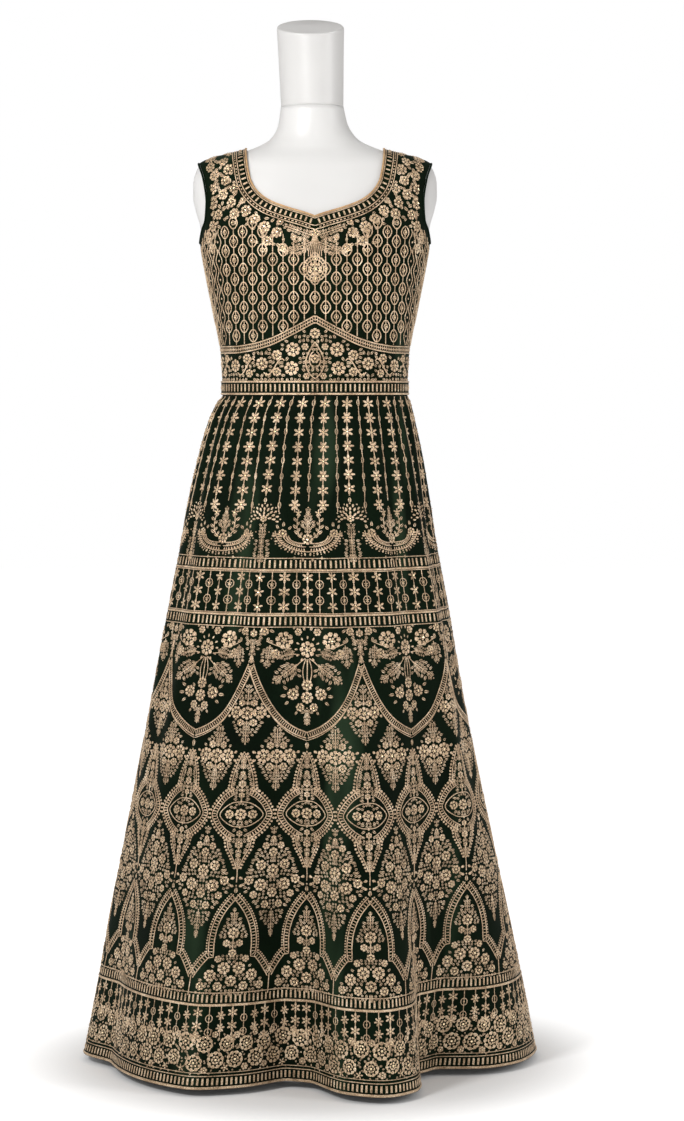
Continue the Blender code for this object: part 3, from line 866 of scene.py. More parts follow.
def medallion(width, height):
    """A pointed medallion: a fringed, barred band round a lens of flowers, with leafy points above and below."""
    d = Drawing()
    w, h = width / 95, height / 170
    half = np.array([
        (12, 36), (23, 30), (33.5, 21), (42, 10), (47.5, -1), (42, -12), (33, -22), (22, -30), (11, -36),
    ], float)
    run = distances(half)
    at = np.linspace(0, run[-1], 26)
    outer = smooth_path(at, run, half) * (w, h)
    lens = np.array([(0, 18), (10, 17), (22, 11.5), (33.5, -1), (22, -12), (10, -17), (0, -18)], float) * (w, h)
    span = np.arange(len(lens))
    fine = np.linspace(0, span[-1], 22)
    lens = smooth_path(fine, span, lens)
    for side, wide in ((outer, 1.8), (outer * (0.82, 0.80), 1.6), (lens, 1.7)):
        d.line_both(side, wide, 0.9)
    for s in np.arange(2, run[-1] - 1, 4.5):
        p = smooth_path(s, run, half)[0] * (w, h)
        q = p * (0.84, 0.82)
        t = (p - q) / np.linalg.norm(p - q)
        n = np.array([-t[1], t[0]]) * 0.95
        for sign in (1, -1):
            corner = np.array([q - n, q + n, p + n, p - n]) * (sign, 1)
            (ax, ay), (bx, by) = corner[1] - corner[0], corner[2] - corner[0]
            area = ax * by - ay * bx
            d.pad(corner if area > 0 else corner[::-1], 0.9)
    scalloped(d, (outer * (1.03, 1.03))[::-1], 3.8, 4.8, 0.9)
    scalloped(d, outer * (-1.03, 1.03), 3.8, 4.8, 0.9)
    blooms = [(0, 0, 9.6 * w), (17.5 * w, 0, 7.6 * w)]
    flowers(d, blooms)
    leafy(d, [(0, 27 * w), (6 * h, 21 * w), (11 * h, 13 * w), (16 * h, 5)], -1, blooms, 4.4, 5, False)
    leafy(d, [(0, 27 * w), (-6 * h, 21 * w), (-11 * h, 13 * w), (-16 * h, 5)], 1, blooms, 4.4, 6, False)
    for sign, rows, seed in (
        (1, [(20, 11), (29, 13), (30, 24), (36, 19), (46, 17.5), (57, 15), (68, 11), (78, 6.5), (87, 1.6)], 7),
        (-1, [(20, 10), (29, 13), (30, 24), (36, 19.5), (44, 18.5), (52, 14.5), (60, 9.5), (68, 5.5), (77, 1.6)], 8),
    ):
        rows = [(sign * y * h, x * w) for y, x in rows]
        buds = [(0, sign * 43 * h, 6.6 * w), (0, sign * 27 * h, 5.2 * w), (0, sign * 58 * h, 4.4 * w)]
        flowers(d, buds)
        leafy(d, [(y, min(x, 18) * 0.74) for y, x in rows], 0, buds, 4.5, seed)
        edge = np.array([(x, y) for y, x in rows[2:]])
        place = np.arange(len(edge))
        steps = np.linspace(0, place[-1], 18)
        edge = np.column_stack([smooth_curve(steps, place, edge[:, 0]), np.interp(steps, place, edge[:, 1])])
        d.line_both(edge * (0.93, 1), 1.6, 0.9)
        path = edge if sign > 0 else edge[::-1]
        scalloped(d, path, 3.6, 4.8, 0.9)
        scalloped(d, (path * (-1, 1))[::-1], 3.6, 4.8, 0.9)
    return d


def tree(width, height):
    """A tall spray: a pointed crown, flowers across its widest part, and stems that meet in a leafy tip below."""
    d = Drawing()
    w, h = width / 92, height / 150
    blooms = [
        (0, 92 * h, 10.5 * w), (19.5 * w, 73 * h, 10.2 * w), (37 * w, 80 * h, 7.6 * w), (19 * w, 100 * h, 8.6 * w),
        (0, 62 * h, 8.6 * w), (0, 117 * h, 7.6 * w), (11.5 * w, 46 * h, 6.6 * w), (30 * w, 60 * h, 6.4 * w),
        (12 * w, 126 * h, 6.2 * w), (0, 136 * h, 4.6 * w),
    ]
    flowers(d, blooms)
    crown = [
        (84 * h, 44 * w), (92 * h, 39 * w), (104 * h, 33 * w), (116 * h, 26 * w), (128 * h, 18 * w), (140 * h, 9 * w),
        (151 * h, 1.5),
    ]
    leafy(d, crown, 0, blooms, 5.0, 9)
    skirt_part = [(40 * h, 21 * w), (50 * h, 29 * w), (62 * h, 40 * w), (74 * h, 46 * w), (84 * h, 45 * w)]
    leafy(d, skirt_part, 76 * h, blooms, 5.0, 10, False)
    foot = [(3, 2.4), (11 * h, 5.5 * w), (19 * h, 10.5 * w), (28 * h, 17 * w), (38 * h, 20 * w)]
    leafy(d, foot, 200, [(11.5 * w, 46 * h, 6.6 * w)], 4.8, 11)
    d.both(petal(7, 5), 45 * w, 82 * h, -70)
    d.both(petal(7, 5), 45 * w, 74 * h, -110)
    return d


# Laying the thread work on the cloth


class Work:
    """Thread work that ends as one object, with its sequins in another."""

    def __init__(self, name):
        self.name, self.points, self.faces, self.count = name, [], [], 0
        self.sequins = None

    def add(self, points, faces):
        self.points.append(points)
        self.faces.append(faces + self.count)
        self.count += len(points)

    def made(self, looks):
        """The finished objects: the thread work, and the sequins where there are any."""
        found = [new_object(self.name, np.concatenate(self.points), np.concatenate(self.faces), looks[0])]
        if self.sequins is not None and self.sequins.points:
            found += self.sequins.made((looks[1],))
        return found


class SkirtWork(Work):
    """Thread work laid on the skirt by a share of the way round and a height."""

    def __init__(self, name, table, sequins=True):
        super().__init__(name)
        self.table = table
        self.sequins = SkirtWork(name.replace("embroidery", "sequins"), table, False) if sequins else None

    def lay(self, drawing, share, z, banded=False, lift=0.0):
        """Lays a drawing with its origin at a share of the way round and a height. banded keeps one scale."""
        if drawing.sequins is not None and self.sequins is not None:
            self.sequins.lay(drawing.sequins, share, z, banded, lift)
        flat, faces = drawing.merged()
        height = z + flat[:, 1] * MM * SLOPE
        length = self.table.round_length(np.full_like(height, z) if banded else height)
        self.add(self.table.place(share + flat[:, 0] * MM / length, height, flat[:, 2] * MM + lift), faces)


def folded(points):
    """Points with those of the left half moved to their mirror places on the right."""
    return np.abs(points * (1, 0, 0)) + points * (0, 1, 1)


def nearest_on_torso(points, angle, height):
    """The angle and height of the form's surface nearest to each point, from a first guess."""
    for _ in range(6):
        here = torso(angle, height)
        along = (torso(angle + STEP, height) - here) / STEP
        up = (torso(angle, height + STEP) - here) / STEP
        apart = points - here
        aa, uu, au = np.sum(along * along, -1), np.sum(up * up, -1), np.sum(along * up, -1)
        ra, ru = np.sum(apart * along, -1), np.sum(apart * up, -1)
        whole = np.maximum(aa * uu - au * au, 1e-12)
        angle = angle + np.clip((ra * uu - ru * au) / whole, -0.15, 0.15)
        height = np.clip(height + np.clip((ru * aa - ra * au) / whole, -0.006, 0.006), BAND_BOTTOM, FORM_REACH)
    return angle, height


class BodiceWork(Work):
    """Thread work laid on one bodice panel, kept inside its edges."""

    def __init__(self, name, table, rear, sequins=True):
        super().__init__(name)
        self.table, self.rear = table, rear
        self.sequins = BodiceWork(name.replace("embroidery", "sequins"), table, rear, False) if sequins else None
        self.edges = [torso(*edge_on_torso(edge, rear).T) for edge in EDGES[rear]]

    def to_edge(self, points, which):
        """How far points are from the neckline or the armhole."""
        right = folded(points)
        line = self.edges[which][::4]
        best = np.full(len(right), FAR)
        for k in range(0, len(right), BATCH):
            part = right[k : k + BATCH]
            best[k : k + BATCH] = np.sqrt(((part[:, None] - line[None]) ** 2).sum(-1).min(1))
        return best

    def keep(self, angle, height, flat, faces, neck=0.0, arm=0.003, low=None, high=None):
        """Adds the faces whose corners all lie on this panel, far enough from its edges."""
        on_form = torso(angle, height)
        turn = np.abs((angle + math.pi) % (2 * math.pi) - math.pi)
        inside = (turn > math.pi / 2 + SEAM_MARGIN) if self.rear else (turn < math.pi / 2 - SEAM_MARGIN)
        inside &= (height > BODICE_BOTTOM) & (height < WORK_TOP)
        across = np.abs(on_form[:, 0])
        for which, (edge, gap) in enumerate(zip(EDGES[self.rear], (neck, arm))):
            line = edge_on_torso(edge, self.rear)
            x = np.abs(torso(line[:, 0], line[:, 1])[:, 0])
            z = line[:, 1]
            border = np.interp(height, z, x)
            within = height > z[0]
            beyond = (across < border) if which == NECK else (across > border)
            inside &= ~(within & beyond)
            if gap > 0:
                inside &= self.to_edge(on_form, which) > gap
        if low is not None:
            inside &= height > low
        if high is not None:
            inside &= height < high
        chosen = inside[faces].all(axis=1)
        if not chosen.any():
            return
        used, left = np.unique(faces[chosen], return_inverse=True)
        points = raised(torso, angle[used], height[used], FIT + CLOTH + flat[used, 2] * MM)
        self.add(points, left.reshape(-1, 3))

    def lay(self, drawing, across, z, **limits):
        """Lays a drawing by distance round from the panel's middle and by height."""
        if drawing.sequins is not None and self.sequins is not None:
            self.sequins.lay(drawing.sequins, across, z, **limits)
        flat, faces = drawing.merged()
        if not len(flat):
            return
        height = z + flat[:, 1] * MM
        a = across + flat[:, 0] * MM
        if self.rear:
            half = self.table.half_round(height, rear=True)
            a = half - a
            angle = self.table.angle(a, height)
            over = a > half
            angle = np.where(over, 2 * math.pi - self.table.angle(2 * half - a, height), angle)
            faces = faces[:, ::-1]
        else:
            angle = self.table.angle(a, height)
        self.keep(angle, height, flat, faces, **limits)

    def stick(self, drawing, angle, height, turn=0.0, **limits):
        """Lays a small drawing on the slopes, by its own plane. turn is in degrees."""
        if drawing.sequins is not None and self.sequins is not None:
            self.sequins.stick(drawing.sequins, angle, height, turn, **limits)
        flat, faces = drawing.merged()
        here = torso(np.array([angle]), np.array([height]))[0]
        out = normals(torso, np.array([angle]), np.array([height]))[0]
        up = np.array([0.0, 0.0, 1.0]) - out * out[2]
        up /= np.linalg.norm(up)
        side = np.cross(up, out)
        c, s = math.cos(math.radians(turn)), math.sin(math.radians(turn))
        x, y = flat[:, 0] * c - flat[:, 1] * s, flat[:, 0] * s + flat[:, 1] * c
        points = here + (x[:, None] * side + y[:, None] * up) * MM
        start = np.full(len(flat), 1.0)
        found, level = nearest_on_torso(points, angle * start, height * start)
        self.keep(found, level, flat, faces, **limits)

    def along_edge(self, drawing, which, side, **limits):
        """Lays a drawing whose x runs up a neckline or armhole and y goes into the panel. side is 1 or -1."""
        flat, faces = drawing.merged()
        line = edge_on_torso(EDGES[self.rear][which], self.rear)
        on_form = torso(line[:, 0], line[:, 1])
        up = normals(torso, line[:, 0], line[:, 1])
        run = distances(on_form)
        along = np.gradient(on_form, axis=0)
        along[0, 2] = 0 if which == NECK else along[0, 2]
        inward = np.cross(along, up)
        inward /= np.linalg.norm(inward, axis=1, keepdims=True)
        into = 1 if (which == NECK) != self.rear else -1
        at = flat[:, 0] * MM
        points = read_line(at, run, on_form) + read_line(at, run, inward) * (flat[:, 1:2] * MM * into)
        points[:, 0] = np.where((which == NECK) & (points[:, 0] < 0), 0, points[:, 0])
        found, level = nearest_on_torso(points, *read_line(at, run, line).T)
        self.keep(found * side, level, flat, faces if side * into < 0 else faces[:, ::-1], **limits)
        return run[-1]


# Borders and chains


def ladder(length, height, rung, lines, thick, rung_width):
    """Two lines with short bars between them, over a length in millimetres."""
    d = Drawing()
    x = np.arange(0, length + 3.9, 4.0)
    x = x / x[-1] * length
    for share in lines:
        d.level(x, share * height, thick, 0.9)
    count = round(length / rung)
    low, high = min(lines) * height + thick * 0.9, max(lines) * height - thick * 0.9
    for k in range(count):
        middle = (k + 0.5) * length / count
        half = rung_width / 2
        d.pad(
            [
                (middle - half, low), (middle + half, low), (middle + half * 1.1, (low + high) / 2),
                (middle + half, high), (middle - half, high), (middle - half * 1.1, (low + high) / 2),
            ],
            0.9,
        )
    return d


def flower_chain(height, step):
    """A hanging chain of small flowers joined by thread, from the origin down."""
    d = Drawing()
    d.hang(height, round(height / 6), 1.7)
    count = int(height / step)
    for k in range(count):
        y = -(k + 0.5) * height / count
        d.put(SMALL_FLOWER, 0, y, 60 * (k % 2) / 2)
    return d


def thin_chain(height, step, phase):
    """A thread with small open loops and beads, from the origin down."""
    d = Drawing()
    y = np.arange(0, height, 3.0)
    d.line(np.column_stack([0.6 * np.sin(y / 7 + phase), -y]), 1.25, 0.8)
    t = turns(8)
    for k in range(int(height / step)):
        middle = -(k + 0.45 + 0.1 * (k % 2)) * step
        d.line(np.column_stack([2.0 * np.sin(t), middle + 4.6 * np.cos(t)]), 1.15, 0.9, closed=True)
        d.dot(0, middle - step * 0.42, 1.3, 1.0)
    return d


def vase_and_crescent():
    """A flame bud over a crescent with thick leafy arms. Origin at the crescent's eye."""
    d = Drawing()
    leafy(d, [(9, 3), (15, 6), (23, 7.4), (33, 5), (45, 1.2)], 0, (), 4.2, 21)
    flowers(d, [(0, 0, 8.6), (37, 8.5, 6.6)])
    inner = bezier((4, -6), (18, -7), (28, -3), (29, 5), count=16)
    outer = bezier((0, -18), (23, -18), (45, -9), (47, 12), count=16)
    for path, width in ((inner, 1.8), (inner * 0.58 + outer * 0.42, 1.6), (outer, 1.9)):
        d.line_both(path, width, 1.0)
    for k in range(1, 15):
        p, q = inner[k] * 0.42 + outer[k] * 0.58, outer[k]
        way = math.degrees(math.atan2(-(q - p)[0], (q - p)[1]))
        d.both(petal(float(np.linalg.norm(q - p)) + 0.2, 2.7), *p, way)
        if k > 1:
            d.both(petal(3.6, 2.3), *(inner[k] + (p - inner[k]) * 0.14), way)
        if k % 2:
            d.both(petal(6.2, 3.6), *(q + (q - p) * 0.14), way)
        else:
            d.both(petal(3.4, 2.4), *(q + (q - p) * 0.20), way)
            d.dot(*(q + (q - p) * 1.25), 1.3)
            d.dot(-(q + (q - p) * 1.25)[0], (q + (q - p) * 1.25)[1], 1.3)
    d.leaves((
        (42, 14, -25, 0.8), (36, 17, 5, 0.85), (30, 13, 40, 0.8), (44, 5, -70, 0.75), (20, -24, -170, 0.6),
        (7, -27, 180, 0.6),
    ))
    stem = bezier((8, 2), (17, 6), (19, 20), (15, 36), count=9)
    d.line_both(stem, 1.6)
    sides = ((-62, 0.9), (24, 0.7), (-55, 1.0), (30, 0.75), (-48, 0.95), (34, 0.75), (-40, 0.9), (30, 0.7))
    d.leaves((*place, *side) for place, side in zip(stem, sides))
    d.both(star_flower(5.0, 5), 15, 38)
    return d


def bud_cluster():
    """A fan of petals and leaves on a leafy stem. Origin at the fan's heart."""
    d = Drawing()
    d.put(rosette(5.6, 6, 1), 0, -4)
    for reach, ways, shape in (
        (5.2, (0, -40, 40, -80, 80), petal(7.4, 3.6, 1.0)),
        (11.5, (0, -22, 22, -44, 44, -66, 66, -90, 90), petal(7.0, 3.8, 1.0)),
        (17.0, (-11, 11, -33, 33, -55, 55, -78, 78, -100, 100), petal(6.2, 3.6, 0.9)),
    ):
        for turn in ways:
            x, y = around(reach, turn)
            d.put(shape, x, y * (1.0 if abs(turn) < 30 else 0.92) - 5, turn)
    for turn in (0, -22, 22, -44, 44, -67, 67, -90, 90):
        a = math.radians(turn)
        d.dot(-24.0 * math.sin(a), 23.0 * math.cos(a) - 5, 1.5, 1.0)
    d.put(leaf(10.0, 5.2), 0, 18)
    leafy(d, [(-68, 4), (-60, 10), (-44, 9), (-26, 6), (-12, 5)], -100, (), 4.8, 23)
    return d


def garland_drop():
    """What hangs at a low point of the scalloped band. Origin at the top, under the ladder."""
    d = Drawing()
    flowers(d, [
        (0, -32, 12.4), (34, -19, 13.4), (61, -6, 6.4), (14, -7, 6.0), (46, -38, 7.0), (0, -83, 8.6),
        (20.5, -96, 9.0), (0, -101, 9.4), (10, -115, 6.6),
    ])
    for turn in range(0, 360, 30):
        x, y = around(14.0, turn)
        d.put(petal(6.0, 3.4), x, y - 32, turn)
    for stem in (
        ((3, -45), (14, -52), (24, -64)), ((2, -46), (10, -62), (4, -78)),
        ((12, -40), (30, -36), (44, -46)), ((24, -31), (40, -30), (58, -20)),
    ):
        d.line_both(bezier(*stem, count=9), 1.7)
    d.line(np.column_stack([np.zeros(5), np.linspace(-46, -76, 5)]), 2.0)
    spray = Drawing()
    leafy(spray, [(-3, 4.5), (4, 8.2), (12, 10), (20, 8), (27, 4), (32, 1.2)], -5, (), 4.7, 32)
    d.both(spray, 20, -57, -128, 1.12)
    d.both(spray, 54, -30, -172, 0.86)
    d.both(spray, 22, -36, -112, 0.66)
    leafy(d, [(-139, 1.4), (-131, 4), (-123, 7.6), (-117, 9.5)], 200, [(9.5, -114, 5.8)], 4.6, 33)
    d.leaves((
        (28, -90, -52, 0.9), (29, -98, -95, 1.0), (26, -106, -130, 0.85), (12, -90, -40, 0.8), (8, -72, -60, 0.8),
        (8, -64, -70, 0.9), (48, -20, -100, 0.9), (47, -8, -60, 0.9), (22, -4, 30, 0.6), (66, -18, -130, 0.9),
        (54, -14, -150, 0.8), (14, -120, -150, 0.7), (4, -6, -20, 0.8), (24, -34, 160, 0.7), (60, -46, -120, 0.8),
    ))
    return d


def peak_cluster():
    """A narrow cluster of paired leaves that points down at a peak of the scalloped band."""
    d = Drawing()
    leafy(d, [(-50, 2), (-40, 5.5), (-28, 8), (-14, 10.5), (-4, 12)], 200, [(0, -9, 5.6)], 4.8, 35)
    flowers(d, [(0, -9, 5.6)])
    return d


def double_band(d, path, apart, width, hatch):
    """A line each side of a path with short bars between them."""
    path = np.asarray(path, float)
    along = np.gradient(path, axis=0)
    along /= np.linalg.norm(along, axis=1, keepdims=True)
    side = np.stack([-along[:, 1], along[:, 0]], axis=1)
    d.line(path + side * apart / 2, width, 0.9)
    d.line(path - side * apart / 2, width, 0.9)
    run = distances(path)
    at = np.arange(hatch / 2, run[-1], hatch)
    half = apart / 2 - width * 0.35
    for s in at:
        p, n = read_line(s, run, path), read_line(s, run, side)
        t = np.array([n[1], -n[0]])
        low, high = p - n * half, p + n * half
        d.pad([low - t * 0.75, low + t * 0.75, high + t * 0.75, high - t * 0.75], 0.8)


def ring_length(table, z):
    """The way round the skirt's cloth at a height, in millimetres."""
    return float(table.round_length(z)) * 1000


def arch_side(half_width, height, foot):
    """One side of an arch: out from the peak, in to a small step, then out to the foot of the next arch."""
    size = np.array([half_width, -height])
    upper = bezier((0, 0), size * (0.62, 0.22), size * (1.12, 0.55), size * (0.98, 1.0), count=20)
    lower = bezier(size * (1.16, 1.0), size * (1.5, 1.12), foot, count=10)
    return np.concatenate([upper, lower])


def arch(half_width, height, foot):
    """A pointed arch of a barred double band with small petals outside it, down to its feet."""
    d = Drawing()
    path = arch_side(half_width, height, foot)
    for sign in (1, -1):
        side = path * (sign, 1)
        double_band(d, side, 7.2, 1.9, 4.4)
        normal = np.gradient(side, axis=0)
        normal /= np.linalg.norm(normal, axis=1, keepdims=True)
        out = np.stack([-normal[:, 1], normal[:, 0]], axis=1) * sign
        outer = side + out * 4.8
        scalloped(d, outer if sign < 0 else outer[::-1], 2.4, 3.8, 0.8)
    d.put(leaf(11, 5.5), 0, 3)
    d.dot(0, 15, 1.6)
    d.line([(foot[0], foot[1] + 2), (foot[0], foot[1] - 10), (foot[0], foot[1] - 27)], 2.0)
    return d


def bouquet():
    """What stands under an arch: a pointed sprig over a heap of flowers and leaves. Origin at the arch's peak."""
    d = Drawing()
    blooms = [
        (0, -52, 8.8), (9, -66, 5.6), (0, -80, 6.2), (10.5, -101, 9.4), (29, -111, 9.0), (0, -119, 8.4),
        (18, -126, 6.8), (42, -126, 6.4), (19, -88, 5.4),
    ]
    flowers(d, blooms)
    leafy(d, [(-72, 9), (-62, 15), (-54, 19), (-46, 15.5), (-36, 9.5), (-24, 3), (-18, 1.2)], -56, blooms, 4.7, 41)
    leafy(d, [(-95, 26), (-88, 18), (-80, 10), (-72, 5)], -100, blooms, 4.7, 42, False)
    heap = [(-138, 48), (-130, 49), (-121, 45), (-112, 39), (-104, 32), (-96, 25)]
    leafy(d, heap, -126, blooms, 5.0, 43, False, (10, 70))
    return d


def bloom(radius):
    """A large round flower in two rings of petals."""
    d = Drawing()
    for start, end, petals, width in ((0.52, 1.0, 9, 0.74), (0.20, 0.50, 6, 0.62)):
        shape = petal(radius * (end - start), 2 * math.pi * radius * end * width / petals, 1.15, 0.85)
        for k in range(petals):
            a = 2 * math.pi * k / petals + start
            d.put(shape, -radius * start * math.sin(a), radius * start * math.cos(a), math.degrees(a))
            d.sequin(-radius * end * 0.8 * math.sin(a + 0.35), radius * end * 0.8 * math.cos(a + 0.35), 0.8, 1.1)
    d.dot(0, 0, radius * 0.15, 1.2, 6)
    d.sequin(0, 0, 1.7, 1.6)
    return d


def flower_row(seed, length):
    """A band of large round flowers in two staggered rows, with buds and leaves in the gaps."""
    rng = np.random.default_rng(seed)
    d = Drawing()
    columns = round(length / FLOWER_SPACING)
    sizes = (11.4, 12.6, 13.6)
    kinds = [bloom(radius) for radius in sizes]
    buds = [rosette(5.6, 6, 1), rosette(5.0, 5, 1), star_flower(5.4, 5)]
    leaves = [leaf(9.5, 4.8, 0.15), leaf(8.5, 4.6, -0.15), leaf(7.4, 4.2)]
    taken = []
    for row, level, away in ((0, 14.0, -1), (1, 38.5, 1)):
        for c in range(columns):
            x = (c + 0.25 + 0.5 * row) * length / columns + rng.uniform(-1.5, 1.5)
            y = level + rng.uniform(-3.0, 3.0)
            kind = rng.integers(len(kinds))
            d.put(kinds[kind], x, y, rng.uniform(0, 60))
            for turn in np.arange(0, 360, 60) + rng.uniform(0, 60):
                dx, dy = around(sizes[kind] + 0.4, turn)
                d.put(leaves[rng.integers(3)], x + dx, y + dy, turn + rng.uniform(-45, 45), 0.55)
            over, up = x + length / columns / 2 + rng.uniform(-1.5, 1.5), level + away * rng.uniform(9.0, 13.0)
            d.put(buds[rng.integers(3)], over, up, rng.uniform(0, 60))
            taken += [(x, y, sizes[kind]), (over, up, 7.0)]
            for turn in (50, 130, 230, 310):
                dx, dy = around(6.0, turn)
                d.put(leaves[rng.integers(3)], over + dx, up + dy, turn + rng.uniform(-20, 20), 0.62)
    taken = np.array(taken)
    for y in (5.0, 11.5, 18.0, 24.5, 31.0, 37.5, 44.0):
        for x in np.arange(2, length, 6.5):
            px, py, turn = x + rng.uniform(-2, 2), y + rng.uniform(-2, 2), rng.uniform(0, 360)
            if (np.hypot(taken[:, 0] - px, taken[:, 1] - py) - taken[:, 2]).min() > 1.5:
                d.put(leaves[rng.integers(3)], px, py, turn, 0.70)
    return d


def tiled(work, drawing, count, z, offset=0.0, **rules):
    """Lays one drawing count times round the skirt."""
    for k in range(count):
        work.lay(drawing, offset + k / count, z, **rules)


# Where the embroidery goes on the skirt: heights in metres, sizes in millimetres
STRIPES_TOP = 0.9610
STRIPES = 24
STRIPE_LENGTHS = (156, 169, 145)
VASES, BUDS = 0.7605, 0.7930
UPPER_LADDER, MIDDLE_LADDER, LOW_LADDER, HEM_LADDER = 0.7175, 0.6385, 0.1240, 0.0115
UPPER_CHAIN_TOP, LOW_CHAIN_TOP = 0.7150, 0.1215
UPPER_CHAINS, LOW_CHAINS = 66, 118
SCALLOPS = 8
SCALLOP_LOW, SCALLOP_TIP, SCALLOP_FOOT, SCALLOP_RISE = 0.489, 0.5875, 0.4850, 101.0
BUTAS_HIGH, BUTAS_LOW = 0.5200, 0.4600
MOTIFS = 16
MEDALLIONS, TREES, ARCHES = 0.3815, 0.2110, 0.2700
ARCH_FOOT = -113.0
HEM_FLOWERS = 0.0345
FLOWER_SPACING = 30.0


def waist_stripes(work):
    """Hanging chains of flowers between thin threads, and the vases and buds under them."""
    chains = [flower_chain(length, 20.4) for length in STRIPE_LENGTHS]
    threads = [thin_chain(length, 21.0, k) for k, length in enumerate(STRIPE_LENGTHS)]
    for k in range(2 * STRIPES):
        share = k / (2 * STRIPES)
        near = abs((share * SCALLOPS + 0.5) % 1 - 0.5)
        kind = 0 if near < 0.09 else 1 if near < 0.40 else 2
        work.lay((chains if k % 2 else threads)[kind], share, STRIPES_TOP)
    tiled(work, vase_and_crescent(), SCALLOPS, VASES)
    tiled(work, bud_cluster(), SCALLOPS, BUDS, 0.5 / SCALLOPS)


def upper_chain(k):
    """One thread with flowers or rings between the two upper ladders."""
    d = Drawing()
    d.hang(59.0, 11, 1.5)
    if k % 2 == 0:
        flower, size = (SMALL_FLOWER, 1.0) if k % 4 == 0 else (TINY_FLOWER, 1.3)
        for y in (-8, -29, -50):
            d.put(flower, 0, y, 15 * k, size)
        return d
    for y in (-18, -41):
        d.put(ring(5.6, 1.5, 10, 1.1), 0, y)
        d.put(TINY_FLOWER, 0, y, 0, 0.62)
    d.dot(0, -6, 1.5)
    d.dot(0, -54, 1.5)
    return d


def low_chain(k):
    """One thread with flowers or rings under the low ladder."""
    d = Drawing()
    d.hang(42.0, 9, 1.5)
    if k % 3 == 1:
        for y in (-17, -36):
            d.put(ring(4.6, 1.5, 10, 1.15), 0, y)
            d.dot(0, y, 1.8, 1.0, 6)
        return d
    places, size = ((-9, -27, -44), 0.88) if k % 3 == 0 else ((-13, -30), 0.76)
    for y in places:
        d.put(SMALL_FLOWER, 0, y, 20 * k, size)
    return d


def ladder_round(work, z, height, rung, low, thick, rung_width, heavy):
    """A ladder all round, with further lines as (y, width, height)."""
    length = ring_length(work.table, z)
    d = ladder(length, height, rung, (low, 1.0), thick, rung_width)
    x = np.linspace(0, length, round(length / 4))
    for y, width, high in heavy:
        d.level(x, y, width, high)
    work.lay(d, 0, z, banded=True)


def borders(work):
    """Four ladders all round, each with heavier lines, and the chains that hang from two of them."""
    ladder_round(work, UPPER_LADDER, 17, 7.3, 0.0, 1.5, 3.1, ((0, 3.2, 1.1), (-2.6, 1.5, 0.9)))
    ladder_round(work, MIDDLE_LADDER, 17, 7.3, 0.0, 1.5, 3.1, ((17, 3.2, 1.1), (19.6, 1.5, 0.9)))
    for k in range(UPPER_CHAINS):
        work.lay(upper_chain(k), k / UPPER_CHAINS, UPPER_CHAIN_TOP)
    ladder_round(work, LOW_LADDER, 16, 6.6, 0.0, 1.5, 3.0, ((-1.2, 3.6, 1.2),))
    for k in range(LOW_CHAINS):
        work.lay(low_chain(k), k / LOW_CHAINS, LOW_CHAIN_TOP)
    ladder_round(work, HEM_LADDER, 17, 6.8, 0.10, 1.6, 3.5, ((0.4, 3.8, 1.3), (21.5, 1.3, 0.9)))


def garland(work):
    """The scalloped band with what hangs from the ladder above it, and the butas at its peaks and below it."""
    tiled(work, garland_drop(), SCALLOPS, MIDDLE_LADDER)
    tiled(work, peak_cluster(), SCALLOPS, MIDDLE_LADDER, 0.5 / SCALLOPS)
    half = ring_length(work.table, SCALLOP_LOW) / (2 * SCALLOPS)
    t = np.linspace(0, 1, 34)
    swell = np.column_stack([half * t, SCALLOP_RISE * (0.27 * t + 0.73 * t**2.7)])
    wave = Drawing()
    double_band(wave, swell, 8.2, 2.2, 3.4)
    double_band(wave, (swell * (-1, 1))[::-1], 8.2, 2.2, 3.4)
    wave.line(swell + (0.5, -7.2), 1.3, 0.6)
    wave.line((swell + (0.5, -7.2)) * (-1, 1), 1.3, 0.6)
    tiled(work, wave, SCALLOPS, SCALLOP_LOW, banded=True)
    tip, foot = Drawing(), Drawing()
    tip.put(leaf(12, 6), 0, 3)
    tip.dot(0, 17, 1.7)
    tiled(work, tip, SCALLOPS, SCALLOP_TIP, 0.5 / SCALLOPS)
    foot.put(leaf(13, 6), 0, -4, 180)
    foot.dot(0, -19, 1.7)
    tiled(work, foot, SCALLOPS, SCALLOP_FOOT)
    tiled(work, buta(50, 84), SCALLOPS, BUTAS_HIGH, 0.5 / SCALLOPS)
    tiled(work, buta(55, 92), MOTIFS, BUTAS_LOW, 0.5 / MOTIFS)


def medallions(work):
    """The medallions, with a short stem below each."""
    eye = medallion(85, 170)
    eye.line([(0, -76), (0.4, -86), (0, -96)], 1.7, 0.9)
    tiled(work, eye, MOTIFS, MEDALLIONS)


def trees(work):
    """The tall sprays between the medallions."""
    tiled(work, tree(84, 156), MOTIFS, TREES, 0.5 / MOTIFS)


def arches(work):
    """The arches, whose feet meet halfway between two of them, and a bouquet under each."""
    reach = ring_length(work.table, ARCHES + ARCH_FOOT * MM * SLOPE) / (2 * MOTIFS)
    tiled(work, arch(29.5, 83.0, (reach, ARCH_FOOT)), MOTIFS, ARCHES)
    tiled(work, bouquet(), MOTIFS, ARCHES)


def hem_flowers(work):
    """The band of large flowers above the hem."""
    work.lay(flower_row(5, ring_length(work.table, HEM_FLOWERS)), 0, HEM_FLOWERS, banded=True)


def skirt_embroidery(table, looks):
    """All thread work of the skirt, one object for each part with its sequins."""
    made = []
    for part in (waist_stripes, borders, garland, medallions, trees, arches, hem_flowers):
        work = SkirtWork(f"embroidery_{part.__name__}", table)
        part(work)
        made += work.made(looks)
    return made


# Where it goes on the bodice


